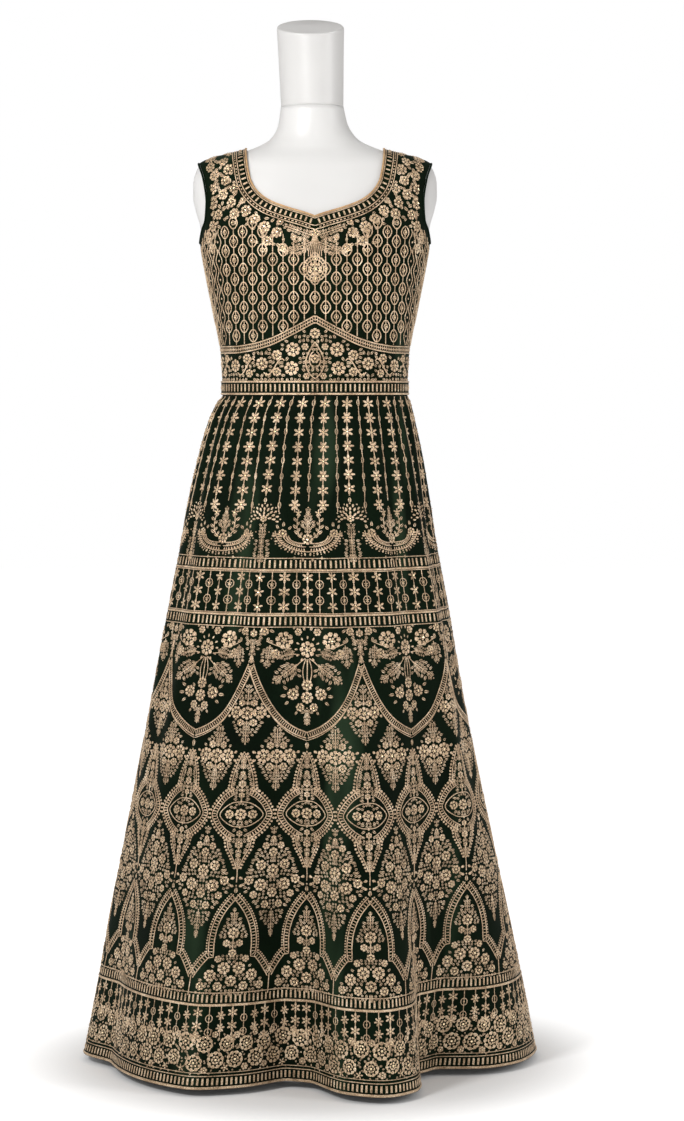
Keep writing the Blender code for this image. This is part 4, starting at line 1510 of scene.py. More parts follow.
def ring_motif():
    """A ring drawn out to a point above and below, with a small flower inside."""
    d = Drawing()
    t = turns(16)
    r = 6.8 * (1 + 0.34 * np.abs(np.cos(t)) ** 7)
    d.line(np.column_stack([r * np.sin(t), r * np.cos(t)]), 2.0, 1.0, closed=True)
    d.put(ring(3.1, 1.6, 7), 0, 0)
    d.dot(0, 0, 1.2, 1.1)
    d.sequin(0, 0, 1.0, 1.4)
    return d


# The columns of rings on each side of the middle one, those that have rings, and the rings' places in metres
COLUMNS, RING_COLUMNS = 14, 9
COLUMN_STEP = 0.0149
RING_START, RING_STEP = 1.0480, 0.0265
FIELD_TOP = 1.215
THREAD_TOP, SWAY_TOP = 1205, 1200  # in millimetres

# The bodice's other parts: how far round the chevron goes in millimetres, then heights and clearances in metres
CHEVRON_REACH = 250
MIDRIFF = 1.003
PENDANT = 1.1405
YOKE_BOTTOM, YOKE_TOP = 1.172, 1.3145
NECK_CLEAR, ARM_CLEAR = 0.0185, 0.0075
RING_CLEAR = 0.0078

# The chevron band's middle: distance round from the front's middle, and height.
CHEVRON = ((0.0, 1.0715), (0.035, 1.0525), (0.065, 1.0385), (0.095, 1.0310), (0.125, 1.0280), (0.25, 1.0280))


def chevron_height(across):
    """The chevron band's middle, in metres, by distance round from the front's middle."""
    return smooth_curve(np.abs(across), *np.transpose(CHEVRON))


def neck_border(work, side):
    """The barred border along the neckline."""
    flat = edge_on_torso(EDGES[work.rear][NECK], work.rear)
    run = length_mm(torso(flat[:, 0], flat[:, 1]))
    x = np.linspace(0, run, round(run / 3.5))
    d = Drawing()
    for y, width in ((1.2, 1.6), (12.2, 1.7), (17.8, 1.7)):
        d.level(x, y, width, 0.9)
    for spacing, half, low, high in ((7.6, 1.5, 2.6, 10.8), (5.2, 1.6, 14.0, 16.0)):
        count = round(run / spacing)
        for k in range(count):
            middle = (k + 0.5) * run / count
            d.bar(middle, half, low, high, 1.0)
    work.along_edge(d, NECK, side, arm=0.0)


def column_threads(k, low, heights):
    """The threads of one column: a straight one between the rings, or at the sides two that sway round beads."""
    d = Drawing()
    if abs(k) <= RING_COLUMNS:
        y = np.arange(low * 1000, THREAD_TOP, 5.0)
        d.line(np.column_stack([np.zeros(len(y)), y]), 1.9, 0.5)
        return d
    y = np.arange(low * 1000, SWAY_TOP, 2.65)
    sway = 4.2 + 2.6 * np.cos(2 * math.pi * (y - 1048) / 26.5 + math.pi * (k % 2))
    for sign in (1, -1):
        d.line(np.column_stack([sign * sway, y]), 1.5, 0.8)
    for z in heights:
        d.dot(0, z * 1000, 2.0, 1.0, 6)
    return d


def near_pendant(across, z):
    """Whether a ring would touch the pendant or its wings."""
    return abs(across) < 0.037 and z > 1.160 or abs(across) < 0.062 and z > 1.178


def ring_field(work, table):
    """Columns of rings above the chevron. Gives the middles of the rings."""
    motif, centres = ring_motif(), []
    for k in range(-COLUMNS, COLUMNS + 1):
        across = k * COLUMN_STEP
        low = float(chevron_height(across)) + 0.007
        heights = np.arange(RING_START + (RING_STEP / 2 if k % 2 else 0.0) - 2 * RING_STEP, FIELD_TOP, RING_STEP)
        has_rings = abs(k) <= RING_COLUMNS
        work.lay(column_threads(k, low, heights), across, 0.0, neck=0.036, arm=0.010 if has_rings else 0.007)
        for z in heights[heights >= low + 0.004] if has_rings else ():
            turn = abs(across) / float(table.half_round(z, work.rear)) * math.pi / 2
            centre = torso(np.array([math.pi - turn if work.rear else turn]), np.array([z]))
            if work.to_edge(centre, NECK)[0] < 0.038 or work.to_edge(centre, ARM)[0] < 0.014:
                continue
            if work.rear or not near_pendant(across, z):
                centres.append(centre[0])
                work.lay(motif, across, z, neck=0.017, arm=0.006)
    return np.array(centres)


def chevron(work):
    """The barred band over the midriff."""
    x = np.arange(-CHEVRON_REACH, CHEVRON_REACH + 0.1, 4.0)
    for rise, width in ((-4.6, 2.2), (0.0, 1.6), (4.6, 2.2)):
        d = Drawing()
        d.line(np.column_stack([x, chevron_height(x * MM) * 1000 + rise]), width, 0.95)
        work.lay(d, 0.0, 0.0)
    d = Drawing()
    for at in np.arange(2 - CHEVRON_REACH, CHEVRON_REACH - 2, 3.4):
        y = float(chevron_height(at * MM)) * 1000
        d.bar(at, 0.7, y - 3.8, y + 3.8, 0.7)
    work.lay(d, 0.0, 0.0)


def bodice_embroidery(rear, looks):
    """All thread work of one bodice panel: the field of rings, then the borders, the midriff and the yoke."""
    table = BodiceMap()
    name = "back" if rear else "front"
    field = BodiceWork(f"embroidery_bodice_{name}_field", table, rear)
    centres = ring_field(field, table)
    trim = BodiceWork(f"embroidery_bodice_{name}_trim", table, rear)
    for side in (1, -1):
        neck_border(trim, side)
    chevron(trim)
    trim.lay(midriff(), 0.0, MIDRIFF)
    yoke(trim, rear, folded(centres))
    if not rear:
        trim.lay(neck_pendant(), 0.0, PENDANT, neck=NECK_CLEAR)
    return field.made(looks) + trim.made(looks)


def midriff():
    """Flowers, scrolls and leaves between the chevron and the waist. Origin at the middle of the band."""
    d = Drawing()
    blooms = [
        (0, 48, 8.0), (0, 12, 7.2), (31, 25, 11.0), (33, -2, 11.0), (54, -7, 7.0), (54, 17, 8.0), (14, 29, 5.4),
        (76, 5, 9.8), (96, -9, 6.4), (100, 12, 7.6), (122, 2, 9.8), (143, 12, 6.6), (150, -8, 7.2), (170, 4, 9.8),
        (190, 12, 6.6), (196, -8, 7.0), (216, 4, 9.4), (12, -13, 5.0),
    ]
    flowers(d, blooms)
    scrolls = []
    for x in (43, 87, 133, 181):
        scrolls.append(bezier((x, 9), (x + 9, 24), (x + 18, -24), (x + 30, -8), count=10))
    scrolls.append(bezier((0, -17), (10, -10), (17, 2), (15, 14), (8, 22), (0, 36), count=14))
    scrolls.append(bezier((3, 0), (10, 4), (9, 18), (2, 22), count=8))
    for path in scrolls:
        d.line_both(path, 2.2, 1.0)
    rng = np.random.default_rng(17)
    shapes = [leaf(8.6, 4.4, 0.15), leaf(7.8, 4.2, -0.12), leaf(7.0, 4.0)]
    for y in np.arange(-17.5, 58, 6.1):
        for x in np.arange(3.2, 236, 6.1):
            px, py = x + rng.uniform(-1.0, 1.0), y + rng.uniform(-1.0, 1.0)
            if py > float(chevron_height(px * MM)) * 1000 - 1003 - 9:
                continue
            nearest = min(blooms, key=lambda f: math.hypot(px - f[0], py - f[1]) - f[2])
            apart = math.hypot(px - nearest[0], py - nearest[1]) - nearest[2]
            if apart < 2.2:
                continue
            way = math.degrees(math.atan2(-(px - nearest[0]), py - nearest[1])) + rng.uniform(-35, 35)
            a = math.radians(way)
            d.both(shapes[rng.integers(3)], px + 3.4 * math.sin(a), py - 3.4 * math.cos(a), way)
    return d


def neck_pendant():
    """The pendant below the neck's point, with wings of leaves. Origin at the middle of the oval."""
    d = Drawing()
    t = turns(20)
    for r, width in ((17.5, 2.4), (13.2, 1.8)):
        d.line(np.column_stack([r * 0.92 * np.sin(t), r * np.cos(t)]), width, 1.0, closed=True)
    for k in range(24):
        a = 2 * math.pi * k / 24
        d.dot(15.3 * 0.92 * math.sin(a), 15.3 * math.cos(a), 1.0, 1.0, 4)
    d.put(rosette(10.6, 9, 2), 0, 0)
    d.line(np.column_stack([np.zeros(6), np.linspace(17, 52, 6)]), 2.0, 1.0)
    for x in (3.0, 6.0, 9.0):
        side = bezier((x, 17.5), (x * 1.1, 26), (x * 0.7, 34), (x * 0.3, 44), count=6)
        d.line_both(side, 1.5, 0.9)
    wing = Drawing()
    leafy(wing, [(-2, 3.6), (5, 8), (13, 10), (21, 8.4), (29, 5), (36, 1.4)], -5, (), 4.6, 51)
    d.both(wing, 9, 36, -112, 0.98)
    d.both(wing, 8, 48, -70, 1.05)
    flowers(d, [(0, 50, 6.6), (46, 30, 6.4), (30, 44, 4.6)])
    d.leaves((
        (10, 28, -100, 1.0), (18, 25, -130, 1.0), (36, 26, -120, 0.9), (54, 34, -80, 0.9), (56, 44, -60, 0.9),
        (52, 50, -40, 0.8),
    ))
    d.dot(0, -21.5, 1.5)
    return d


def yoke(work, rear, rings):
    """Round flowers, buds and leaves over the shoulders, along the neck and the armholes, clear of the rings."""
    rng = np.random.default_rng(11 if rear else 7)
    kinds = [rosette(9.4, 8, 2), rosette(8.6, 8, 2), rosette(7.8, 7, 2)]
    small = [rosette(5.4, 6, 1), star_flower(5.2, 5)]
    leaves = [leaf(10.5, 5.2, 0.15), leaf(9.5, 4.8, -0.15), leaf(8.0, 4.4)]
    limits = {"neck": NECK_CLEAR, "arm": ARM_CLEAR}
    placed = []
    for radius, apart, step_up, shapes in ((9.0, 0.0190, 0.0040, kinds), (5.4, 0.0134, 0.0035, small)):
        for z in np.arange(YOKE_BOTTOM, YOKE_TOP, step_up):
            angle = np.linspace(0.0, math.pi / 2 - 0.03, 110)
            turned = math.pi - angle if rear else angle
            line = torso(turned, np.full_like(angle, z))
            run = distances(line)
            for x in np.arange(0.004, run[-1], 0.0045):
                turn = float(np.interp(x, run, angle))
                turn = math.pi - turn if rear else turn
                centre = torso(np.array([turn]), np.array([z]))
                if np.linalg.norm(rings - centre, axis=1).min() < radius * MM + RING_CLEAR:
                    continue
                if not rear and abs(centre[0, 0]) < 0.052 and z < 1.206:
                    continue
                gaps = (np.linalg.norm(c - centre[0]) - max(0, r - radius) * 0.0007 for c, r in placed)
                free = min(gaps, default=FAR)
                if free < apart * (0.93 if radius > 8 else 1.0):
                    continue
                to_neck, to_arm = work.to_edge(centre, NECK)[0], work.to_edge(centre, ARM)[0]
                reach = radius * 0.0005
                if to_neck < NECK_CLEAR + reach or to_arm < 0.0060 + reach or abs(centre[0, 0]) > 0.150:
                    continue
                placed.append((centre[0], radius))
                spin = rng.uniform(0, 50)
                shape = shapes[rng.integers(len(shapes))]
                near = leaves[rng.integers(3)]
                for side in (1, -1):
                    work.stick(shape, side * turn, z, side * spin, **limits)
                if radius > 8:
                    for way in np.arange(0, 360, 72) + spin:
                        left, up = around(0.0105, way)
                        bend = left / max(0.05, float(np.hypot(*centre[0, :2]))) * (-1 if rear else 1)
                        place = turn + bend, min(1.3140, z + up * 0.8)
                        for side in (1, -1):
                            work.stick(near, side * place[0], place[1], side * (way + 20), **limits)


def band_embroidery(gold):
    """The barred border on the waist band."""
    angles = np.linspace(0, 2 * math.pi, 721)
    line = torso(angles, np.full_like(angles, BAND_MIDDLE))
    run = distances(line)
    degrees = np.radians(np.arange(0, 361.0))
    length = length_mm(torso(degrees, np.full_like(degrees, BAND_MIDDLE)))
    d = ladder(length, 16.5, 6.6, (0.0, 1.0), 1.8, 2.6)
    x = np.linspace(0, length, round(length / 4))
    d.level(x, -0.6, 3.2, 1.2)
    d.level(x, 17.0, 2.6, 1.1)
    flat, faces = d.merged()
    angle = np.interp(flat[:, 0] * MM, run, angles)
    height = BAND_WORK + flat[:, 1] * MM
    out = FIT + CLOTH + BAND_GAP + CLOTH + flat[:, 2] * MM
    return new_object("embroidery_waist_band", raised(torso, angle, height, out), faces, gold)


# Looks. The golds run from painted shade in the gaps between strands to painted highlights, the strands' glints.
CORD_GOLD_PAINTED_LIGHT = ((0.30, (0.20, 0.11, 0.045)), (0.52, (0.50, 0.31, 0.15)), (0.72, (0.80, 0.58, 0.34)))
THREAD_GOLD_PAINTED_LIGHT = (
    (0.34, (0.090, 0.056, 0.030)),
    (0.46, (0.40, 0.268, 0.157)),
    (0.56, (0.67, 0.495, 0.325)),
    (0.68, (1.0, 0.885, 0.71)),
)


def nodes_of(name, **values):
    """A new material with its shader and small helpers to add and link nodes."""
    look = bpy.data.materials.new(name)
    look.use_nodes = True
    tree = look.node_tree
    shader = tree.nodes["Principled BSDF"]
    for socket, value in values.items():
        shader.inputs[socket.replace("_", " ")].default_value = value

    def add(kind, inputs=None, **settings):
        node = tree.nodes.new(kind)
        for key, value in settings.items():
            setattr(node, key, value)
        for key, value in (inputs or {}).items():
            if isinstance(value, bpy.types.NodeSocket):
                tree.links.new(value, node.inputs[key])
            else:
                node.inputs[key].default_value = value
        return node

    def join(source, socket):
        tree.links.new(source, shader.inputs[socket])

    return look, add, join


def ramp(add, factor, stops):
    """Colours by a grey value, from rows of (place, colour)."""
    node = add("ShaderNodeValToRGB", {"Fac": factor})
    line = node.color_ramp
    while len(line.elements) < len(stops):
        line.elements.new(0.5)
    for element, (place, colour) in zip(line.elements, stops):
        element.position = place
        element.color = (*colour, 1.0)
    return node.outputs["Color"]


def math_node(add, operation, a, b=0.0):
    """One sum on two values or sockets."""
    return add("ShaderNodeMath", {0: a, 1: b}, operation=operation).outputs[0]


def noise(add, place, scale, detail, **more):
    """An uneven grey value by place."""
    return add("ShaderNodeTexNoise", {"Vector": place, "Scale": scale, "Detail": detail, **more}).outputs["Fac"]


def scaled(add, value, share, base):
    """A value times share, plus base."""
    return math_node(add, "ADD", math_node(add, "MULTIPLY", value, share), base)


def net_look(name, dark, light, weave=0.0011):
    """Fine net over a satin ground, with small uneven colour, a soft sheen, and pale streaks placed by noise that are
    a painted highlight.
    """
    look, add, join = nodes_of(
        name, Sheen_Weight=0.013, Sheen_Roughness=0.45, Sheen_Tint=(0.35, 0.62, 0.42, 1.0), Specular_IOR_Level=0.03
    )
    uv = add("ShaderNodeUVMap", uv_map="Cloth").outputs["UV"]
    place = add("ShaderNodeTexCoord").outputs["Object"]
    broad, fine = noise(add, place, 9.0, 3.0), noise(add, place, 420.0, 2.0)
    split = add("ShaderNodeSeparateXYZ", {0: uv})
    threads = []
    for axis in (0, 1):
        waves = math_node(add, "MULTIPLY", split.outputs[axis], 2 * math.pi / weave)
        threads.append(math_node(add, "SINE", waves))
    mesh = math_node(add, "MAXIMUM", *threads)
    tone = scaled(add, broad, 0.65, math_node(add, "MULTIPLY", fine, 0.35))
    colour = ramp(add, tone, ((0.30, dark), (0.72, light)))
    # Pale grey-green streaks stretched up and down the cloth are painted highlight, standing in for light caught on
    # the net's folds.
    drawn = add("ShaderNodeVectorMath", {0: place, 1: (9.0, 9.0, 1.1)}, operation="MULTIPLY").outputs[0]
    painted_fold_highlight = ramp(add, noise(add, drawn, 1.6, 2.0), ((0.60, (0.0, 0.0, 0.0)), (0.74, (0.015, 0.026, 0.014))))
    colour = add("ShaderNodeVectorMath", {0: colour, 1: painted_fold_highlight}, operation="ADD").outputs[0]
    shade = scaled(add, mesh, 0.18, 0.82)
    joined = add("ShaderNodeCombineXYZ", {0: shade, 1: shade, 2: shade}).outputs[0]
    mixed = add("ShaderNodeVectorMath", {0: colour, 1: joined}, operation="MULTIPLY").outputs[0]
    join(mixed, "Base Color")
    join(scaled(add, fine, 0.22, 0.51), "Roughness")
    bump = add("ShaderNodeBump", {"Strength": 0.35, "Distance": 0.0002, "Height": mesh})
    crumple = add(
        "ShaderNodeBump", {"Strength": 0.30, "Distance": 0.0016, "Height": broad, "Normal": bump.outputs["Normal"]}
    )
    join(crumple.outputs["Normal"], "Normal")
    return look


def zari_look(name, stops):
    """Twisted metal thread whose colour holds painted light: short glints as painted highlights and dark gaps between
    the strands as painted shade.
    """
    look, add, join = nodes_of(name, Metallic=0.35)
    place = add("ShaderNodeTexCoord").outputs["Object"]
    strands = noise(add, place, 700.0, 3.0, Roughness=0.65)
    tone = scaled(add, strands, 0.72, math_node(add, "MULTIPLY", noise(add, place, 55.0, 2.0), 0.28))
    # The base colour's darkest stops are painted shade between the strands and its brightest stops are painted
    # highlights.
    join(ramp(add, tone, stops), "Base Color")
    join(scaled(add, strands, 0.35, 0.29), "Roughness")
    bump = add("ShaderNodeBump", {"Strength": 0.9, "Distance": 0.0006, "Height": strands})
    join(bump.outputs["Normal"], "Normal")
    return look


def gloss_look(name, colour, roughness, grain=900.0, strength=0.05, metal=0.0):
    """Moulded or painted shell, or metal, with a faint orange-peel surface."""
    look, add, join = nodes_of(name, Metallic=metal)
    place = add("ShaderNodeTexCoord").outputs["Object"]
    broad, fine = noise(add, place, 6.0, 3.0), noise(add, place, grain, 2.0)
    darker = tuple(c * 0.94 for c in colour)
    join(ramp(add, broad, ((0.35, darker), (0.65, colour))), "Base Color")
    join(scaled(add, broad, 0.12, roughness - 0.06), "Roughness")
    bump = add("ShaderNodeBump", {"Strength": strength, "Distance": 0.0002, "Height": fine})
    join(bump.outputs["Normal"], "Normal")
    return look


# Cloth pieces


def set_uv(obj, uv, wrap=None):
    """Cloth measures in metres for each point. wrap is the way round, added where a face crosses the start."""
    mesh = obj.data
    layer = mesh.uv_layers.new(name="Cloth")
    corner = np.zeros(len(mesh.loops), np.int32)
    mesh.loops.foreach_get("vertex_index", corner)
    uv = np.asarray(uv, float)[corner].reshape(len(mesh.polygons), -1, 2)
    if wrap is not None:
        width = np.asarray(wrap, float)[corner].reshape(len(mesh.polygons), -1)
        crossing = np.ptp(uv[..., 0], axis=1) > 0.5 * width.max(axis=1)
        low = crossing[:, None] & (uv[..., 0] < 0.5 * width)
        uv[..., 0] += np.where(low, width, 0)
    layer.data.foreach_set("uv", uv.astype(np.float32).ravel())


def make_skirt_cloth(table, look):
    """The ten panels as one cloth, closed round."""
    inner, outer = table.inner[:, :-1], table.outer[:, :-1]
    skirt_cloth = cloth_tube("skirt_cloth", inner, outer, look)
    share = np.arange(SKIRT_COLUMNS_ROUND) / SKIRT_COLUMNS_ROUND
    u = share[None, :] * table.length[:, None]
    v = np.broadcast_to(table.heights[:, None], u.shape)
    uv = np.stack([u, v], axis=-1).reshape(-1, 2)
    whole = np.broadcast_to(table.length[:, None], u.shape).ravel()
    set_uv(skirt_cloth, np.concatenate([uv, uv]), np.concatenate([whole, whole]))
    return skirt_cloth


def bodice_half(rear):
    """Angles and heights over one half of a bodice panel, from its middle or neckline to its side or armhole."""
    middle, side = (math.pi, math.pi / 2) if rear else (0.0, math.pi / 2)
    neck, arm = (edge_on_torso(edge, rear) for edge in EDGES[rear])
    neck[-1, 0] = arm[0, 0] = arm[-1, 0] = math.pi / 2
    neck, arm = spaced(neck, BODICE_ROWS_HIGH), spaced(arm, BODICE_ROWS_HIGH)
    inner, outer = (
        np.concatenate([[(angle, z) for z in np.linspace(BODICE_BOTTOM, top, BODICE_ROWS_LOW + 1)], edge[1:]])
        for angle, top, edge in ((middle, neck[0, 1], neck), (side, UNDERARM, arm))
    )
    share = np.linspace(0, 1, BODICE_COLUMNS + 1)[None, :, None]
    grid = inner[:, None] * (1 - share) + outer[:, None] * share
    return grid[..., 0], grid[..., 1]


def make_bodice_cloth(name, rear, look):
    """One bodice panel, both halves joined along the middle below the neckline."""
    angle, height = bodice_half(rear)
    rows, columns = angle.shape
    inner, outer = (raised(torso, angle, height, out) for out in (FIT, FIT + CLOTH))
    run = np.cumsum(np.linalg.norm(np.diff(outer, axis=1), axis=-1), axis=1)
    run = np.concatenate([np.zeros((rows, 1)), run], axis=1)
    for face in (inner, outer):
        face[: BODICE_ROWS_LOW + 1, 0, 0] = 0.0
    count = rows * columns
    index = np.arange(count).reshape(rows, columns)
    outside, inside = grid_faces(rows, columns), grid_faces(rows, columns, count, turned=True)
    sides = ((index[0], False), (index[-1], True), (index[BODICE_ROWS_LOW:, 0], True), (index[:, -1], False))
    strips = [rim_faces(line, count, turned) for line, turned in sides]
    faces = np.concatenate([outside, inside, *strips])
    if rear:
        faces = faces[:, ::-1]
    points = np.concatenate([outer.reshape(-1, 3), inner.reshape(-1, 3)])
    uv = np.stack([run, height], axis=-1).reshape(-1, 2)
    uv = np.concatenate([uv, uv])
    both = np.concatenate([points, points * (-1, 1, 1)])
    faces = np.concatenate([faces, faces[:, ::-1] + 2 * count])
    uv = np.concatenate([uv, uv * (-1, 1)])
    on_middle = np.abs(both[:, 0]) < 1e-9
    target = np.arange(len(both))
    target[2 * count :][on_middle[: 2 * count]] = np.arange(2 * count)[on_middle[: 2 * count]]
    used, faces = np.unique(target[faces], return_inverse=True)
    obj = new_object(name, both[used], faces.reshape(-1, 4), look)
    set_uv(obj, uv[used])
    return obj


def make_band_cloth(look):
    """The band over the waist seam, closed round the waist."""
    angle = np.linspace(0, 2 * math.pi, BAND_COLUMNS, endpoint=False)[None, :]
    angle, height = np.broadcast_arrays(angle, np.linspace(BAND_BOTTOM, BAND_TOP, BAND_ROWS)[:, None])
    out = FIT + CLOTH + BAND_GAP
    inner, outer = (raised(torso, angle, height, o) for o in (out, out + CLOTH))
    band = cloth_tube("waist_band_cloth", inner, outer, look)
    uv = np.stack([angle / (2 * math.pi) * BAND_WEAVE, height], axis=-1).reshape(-1, 2)
    set_uv(band, np.concatenate([uv, uv]), np.full(2 * uv.shape[0], BAND_WEAVE))
    return band


def tube(name, line, radius, look):
    """A closed round cord through points."""
    along = np.roll(line, -1, axis=0) - np.roll(line, 1, axis=0)
    along /= np.linalg.norm(along, axis=1, keepdims=True)
    angle = torso_at(line)
    up = normals(torso, angle, line[:, 2])
    up -= along * np.sum(up * along, axis=1, keepdims=True)
    up /= np.linalg.norm(up, axis=1, keepdims=True)
    side = np.cross(along, up)
    turn = turns(CORD_SIDES)
    ring_points = (
        line[:, None]
        + radius * np.cos(turn)[None, :, None] * up[:, None]
        + radius * np.sin(turn)[None, :, None] * side[:, None]
    )
    rings = len(line)
    faces = grid_faces(rings + 1, CORD_SIDES, close=True) % (rings * CORD_SIDES)
    obj = new_object(name, ring_points.reshape(-1, 3), faces[:, ::-1], look)
    run = distances(line)
    uv = np.stack(np.broadcast_arrays(run[:, None], (turn * radius)[None, :]), axis=-1).reshape(-1, 2)
    set_uv(obj, uv)
    return obj, run[-1]


def beside(edge, away_from_panel):
    """Points next to an edge line on the form, clear of the panel and of the form."""
    points = raised(torso, edge[:, 0], edge[:, 1], SEAM_GAP + PIPING_RADIUS + FIT)
    up = normals(torso, edge[:, 0], edge[:, 1])
    along = np.gradient(points, axis=0)
    side = np.cross(along, up)
    side /= np.linalg.norm(side, axis=1, keepdims=True)
    return points + side * (PIPING_RADIUS + SEAM_GAP) * away_from_panel


def make_pipings(gold, green):
    """The rolled edges of the neck and of both armholes, each with its length."""

    def line_of(which, rear):
        line = edge_on_torso(EDGES[rear][which], rear)
        line[-1, 0] = math.pi / 2
        if which == ARM:
            line[0, 0] = math.pi / 2
        return spaced(line, PIPING_STEPS)

    front, back = line_of(NECK, False), line_of(NECK, True)
    right = np.concatenate([beside(front, -1), beside(back, 1)[-2::-1]])
    neck = np.concatenate([right, right[-2:0:-1] * (-1, 1, 1)])
    front, back = line_of(ARM, False), line_of(ARM, True)
    arm = np.concatenate([beside(front, 1)[1:], beside(back, -1)[-2:0:-1]])
    return (
        tube("neck_edge_cord", neck, PIPING_RADIUS, gold),
        tube("armhole_edge_right", arm, PIPING_RADIUS, green),
        tube("armhole_edge_left", arm * (-1, 1, 1), PIPING_RADIUS, green),
    )


def closed_loft(name, rings, look):
    """A solid through closed rings with flat ends drawn in to a point."""
    count, sides = rings.shape[:2]
    points = [*rings.reshape(-1, 3), rings[0].mean(axis=0), rings[-1].mean(axis=0)]
    index = np.arange(count * sides).reshape(count, sides)
    quads = grid_faces(count, sides, close=True)
    low, high = index[0], index[-1]
    caps = np.concatenate([
        np.stack([np.roll(low, -1), low, np.full(sides, count * sides)], axis=-1),
        np.stack([high, np.roll(high, -1), np.full(sides, count * sides + 1)], axis=-1),
    ])
    triangles = np.concatenate([quads[:, [0, 1, 2]], quads[:, [0, 2, 3]], caps])
    return new_object(name, np.array(points), triangles, look)


def make_form(look, block_shaded_look):
    """The form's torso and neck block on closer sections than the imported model."""
    angle = np.linspace(0, 2 * math.pi, 128, endpoint=False)[None, :]
    table = column(TORSO, TORSO_COLUMNS, "height")
    heights = [table[0]]
    for low, high in zip(table, table[1:]):
        steps = max(2, round((high - low) / 0.006))
        heights += list(np.linspace(low, high, steps + 1)[1:])
    body = closed_loft("form_body", torso(angle, np.array(heights)[:, None]), look)
    low, high = NECK_TOP - SEAM_GAP, BLOCK_TOP
    heights = [low, 1.415, 1.455, high - BLOCK_ROUNDING]
    radius = [0.0452, 0.0462, 0.0474, 0.0488]
    rings = []
    edge = np.linspace(0, math.pi / 2, 7)[1:]
    level = np.concatenate([np.linspace(low, heights[-1], 30), high - BLOCK_ROUNDING * (1 - np.sin(edge))])
    wide = np.concatenate([smooth_curve(level[:30], heights, radius), 0.0488 - 0.0030 * (1 - np.cos(edge))])
    shift = smooth_curve(level, [low, high], [-0.0040, -0.0067])
    for z, r, move in zip(level, wide, shift):
        slant = BLOCK_SLANT * (z - low) / (high - low)
        x, y = r * np.sin(angle[0]), -r * np.cos(angle[0])
        rings.append(np.stack([x + move, y, z + slant * y / r], axis=-1))
    block = closed_loft("form_neck_block_smooth", np.array(rings), block_shaded_look)
    return body, block


# Studio


def area_light(name, place, aim, size, power, spread=180.0):
    """A soft rectangular lamp. spread is in degrees."""
    lamp = bpy.data.lights.new(name, "AREA")
    lamp.shape = "RECTANGLE"
    lamp.size, lamp.size_y = size
    lamp.energy = power
    lamp.spread = math.radians(spread)
    obj = bpy.data.objects.new(name, lamp)
    obj.location = place
    toward = Vector(aim) - Vector(place)
    obj.rotation_euler = toward.to_track_quat("-Z", "Y").to_euler()
    bpy.context.scene.collection.objects.link(obj)
    return obj


def make_studio():
    """The pale floor, which glows as painted light and glows less near the gown as a painted contact shadow, the
    white surroundings, three soft lights and the photograph's camera.
    """
    scene = bpy.context.scene
    floor_look, add, join = nodes_of("pale_floor_painted_glow_shadow", Roughness=0.9, Emission_Color=(1, 1, 1, 1))
    place = add("ShaderNodeTexCoord").outputs["Object"]
    # The floor's glow is painted light; it fades to almost nothing from 0.50 m in to 0.27 m of the middle, a painted
    # contact shadow round the hem.
    away = add("ShaderNodeVectorMath", {0: place}, operation="LENGTH").outputs["Value"]
    glow_with_painted_shadow = {"Value": away, 1: 0.27, 2: 0.50, 3: 0.02, 4: 0.58}
    join(add("ShaderNodeMapRange", glow_with_painted_shadow, interpolation_type="SMOOTHSTEP").outputs["Result"], "Emission Strength")
    cloudy = noise(add, place, 2.0, 2.0)
    join(ramp(add, cloudy, ((0.3, (0.86, 0.86, 0.86)), (0.7, (0.88, 0.88, 0.88)))), "Base Color")
    x, y = 9.0, 12.0
    floor = new_object(
        "studio_floor", [(-x, -5, 0), (x, -5, 0), (x, y, 0), (-x, y, 0)], [(0, 1, 2, 3)], floor_look, smooth=False
    )
    world = scene.world or bpy.data.worlds.new("Studio")
    scene.world = world
    world.use_nodes = True
    tree = world.node_tree
    seen = tree.nodes["Background"]
    seen.inputs["Color"].default_value = (1.0, 1.0, 1.0, 1.0)
    soft = tree.nodes.new("ShaderNodeBackground")
    soft.inputs["Color"].default_value = (1.0, 0.985, 0.97, 1.0)
    soft.inputs["Strength"].default_value = 0.52
    path, mix = tree.nodes.new("ShaderNodeLightPath"), tree.nodes.new("ShaderNodeMixShader")
    tree.links.new(path.outputs["Is Camera Ray"], mix.inputs[0])
    tree.links.new(soft.outputs[0], mix.inputs[1])
    tree.links.new(seen.outputs[0], mix.inputs[2])
    tree.links.new(mix.outputs[0], tree.nodes["World Output"].inputs["Surface"])
    key = area_light("key", (-2.4, -3.0, 3.2), (0, 0, 0.75), (0.9, 0.9), 88)
    side = area_light("side", (3.0, -1.2, 1.9), (0, 0, 0.7), (0.8, 1.8), 26)
    upper = area_light("upper", (-0.8, -2.3, 2.0), (0, 0, 1.24), (0.6, 0.6), 1.6, 41.0)
    camera = bpy.data.cameras.new("Camera")
    camera.lens = LENS
    camera.sensor_width = 36.0
    camera.shift_x = (WIDTH / 2 - AXIS_X) / HEIGHT
    camera.shift_y = (AXIS_Y - HEIGHT / 2) / HEIGHT
    camera.clip_end = 60
    viewer = bpy.data.objects.new("Camera", camera)
    viewer.location = (0, -CAMERA_DISTANCE, CAMERA_HEIGHT)
    viewer.rotation_euler = (math.pi / 2, 0, 0)
    scene.collection.objects.link(viewer)
    scene.camera = viewer
    scene.view_settings.view_transform = "Standard"
    scene.view_settings.look = "None"


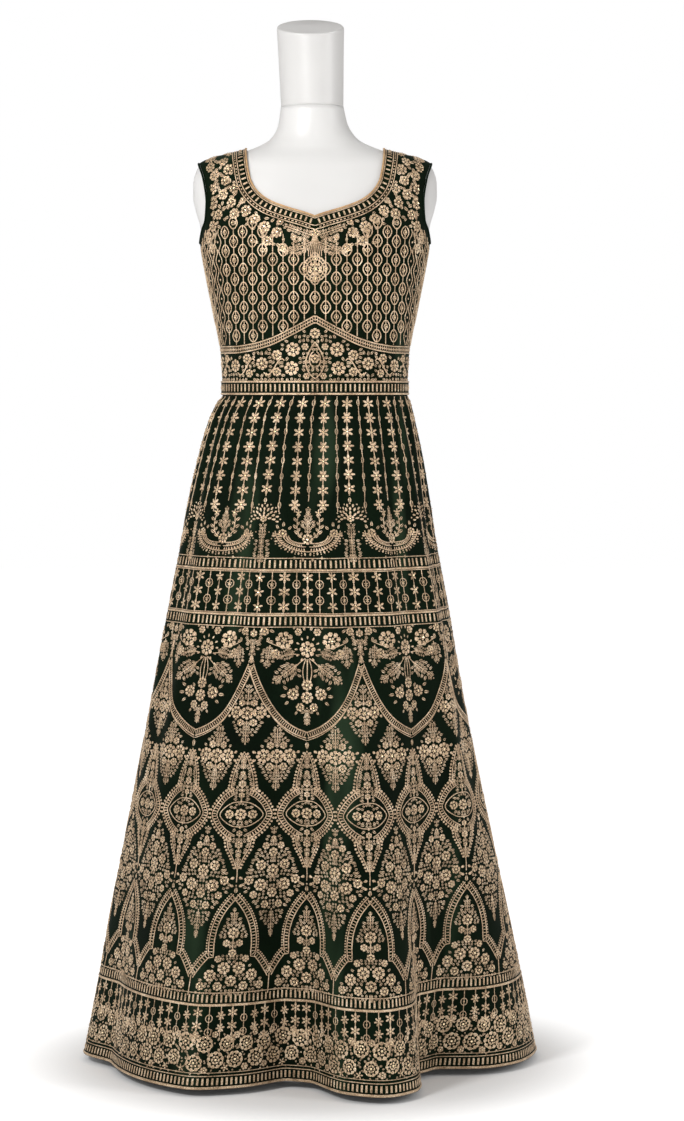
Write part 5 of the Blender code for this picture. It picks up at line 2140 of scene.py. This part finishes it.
def main():
    """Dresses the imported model."""
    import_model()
    for obj in list(bpy.data.objects):
        if obj.type in ("CAMERA", "LIGHT"):
            bpy.data.objects.remove(obj)
    green = net_look("bottle_green_net_woven", (0.0012, 0.0030, 0.0011), (0.0038, 0.0108, 0.0040))
    border = net_look("waist_border_ground", (0.0014, 0.0034, 0.0013), (0.0042, 0.0108, 0.0042))
    edging = net_look("bottle_green_bias_edge", (0.002, 0.006, 0.003), (0.006, 0.016, 0.008), 0.0006)
    gold = zari_look("zari_edge_cord", CORD_GOLD_PAINTED_LIGHT)
    white = gloss_look("white_gloss_shell", (0.590, 0.583, 0.573), 0.30)
    # The neck block's white is a darker copy of the form's white, painted shade where the block catches more of the
    # lamps.
    block_white_painted_shade = gloss_look("white_neck_block_painted_shade", (0.545, 0.537, 0.527), 0.34)
    steel = gloss_look("white_painted_steel", (0.78, 0.77, 0.75), 0.38, 1200.0, 0.08)
    table = SkirtMap()
    skirt_cloth = make_skirt_cloth(table, green)
    front = make_bodice_cloth("bodice_front_cloth", False, green)
    back = make_bodice_cloth("bodice_back_cloth", True, green)
    band = make_band_cloth(border)
    thread = zari_look("zari_embroidery", THREAD_GOLD_PAINTED_LIGHT)
    shine = gloss_look("gold_sequins", (0.95, 0.76, 0.48), 0.22, 1500.0, 0.15, 0.75)
    looks = (thread, shine)
    skirt_work = skirt_embroidery(table, looks)
    front_work, back_work = bodice_embroidery(False, looks), bodice_embroidery(True, looks)
    band_work = [band_embroidery(thread)]
    for piece in skirt_work + front_work + back_work + band_work:
        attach(piece, "root")
    (neck_cord, neck_length), (right_edge, arm_length), (left_edge, _) = make_pipings(gold, edging)
    body, block = make_form(white, block_white_painted_shade)
    for name in ("stand_base", "stand_pole"):
        node = bpy.data.objects[name]
        node.data.materials.clear()
        node.data.materials.append(steel)
    stands_for = (
        (skirt_cloth, "gown_cloth", [f"skirt_panel_{n + 1:02d}" for n in range(PANELS)]),
        (front, "gown_cloth", ["bodice_front"]),
        (back, "gown_cloth", ["bodice_back"]),
        (band, "gold_border", ["waist_band_front", "waist_band_back"]),
        (neck_cord, "gold_border", ["neck_piping"]),
        (right_edge, "green_piping", ["armhole_piping_right"]),
        (left_edge, "green_piping", ["armhole_piping_left"]),
        (body, "form_white", ["form_torso"]),
        (block, "form_white", ["form_neck_block"]),
    )
    for piece, finish, nodes in stands_for:
        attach(piece, "root")
        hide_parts(*nodes)
    make_studio()


main()
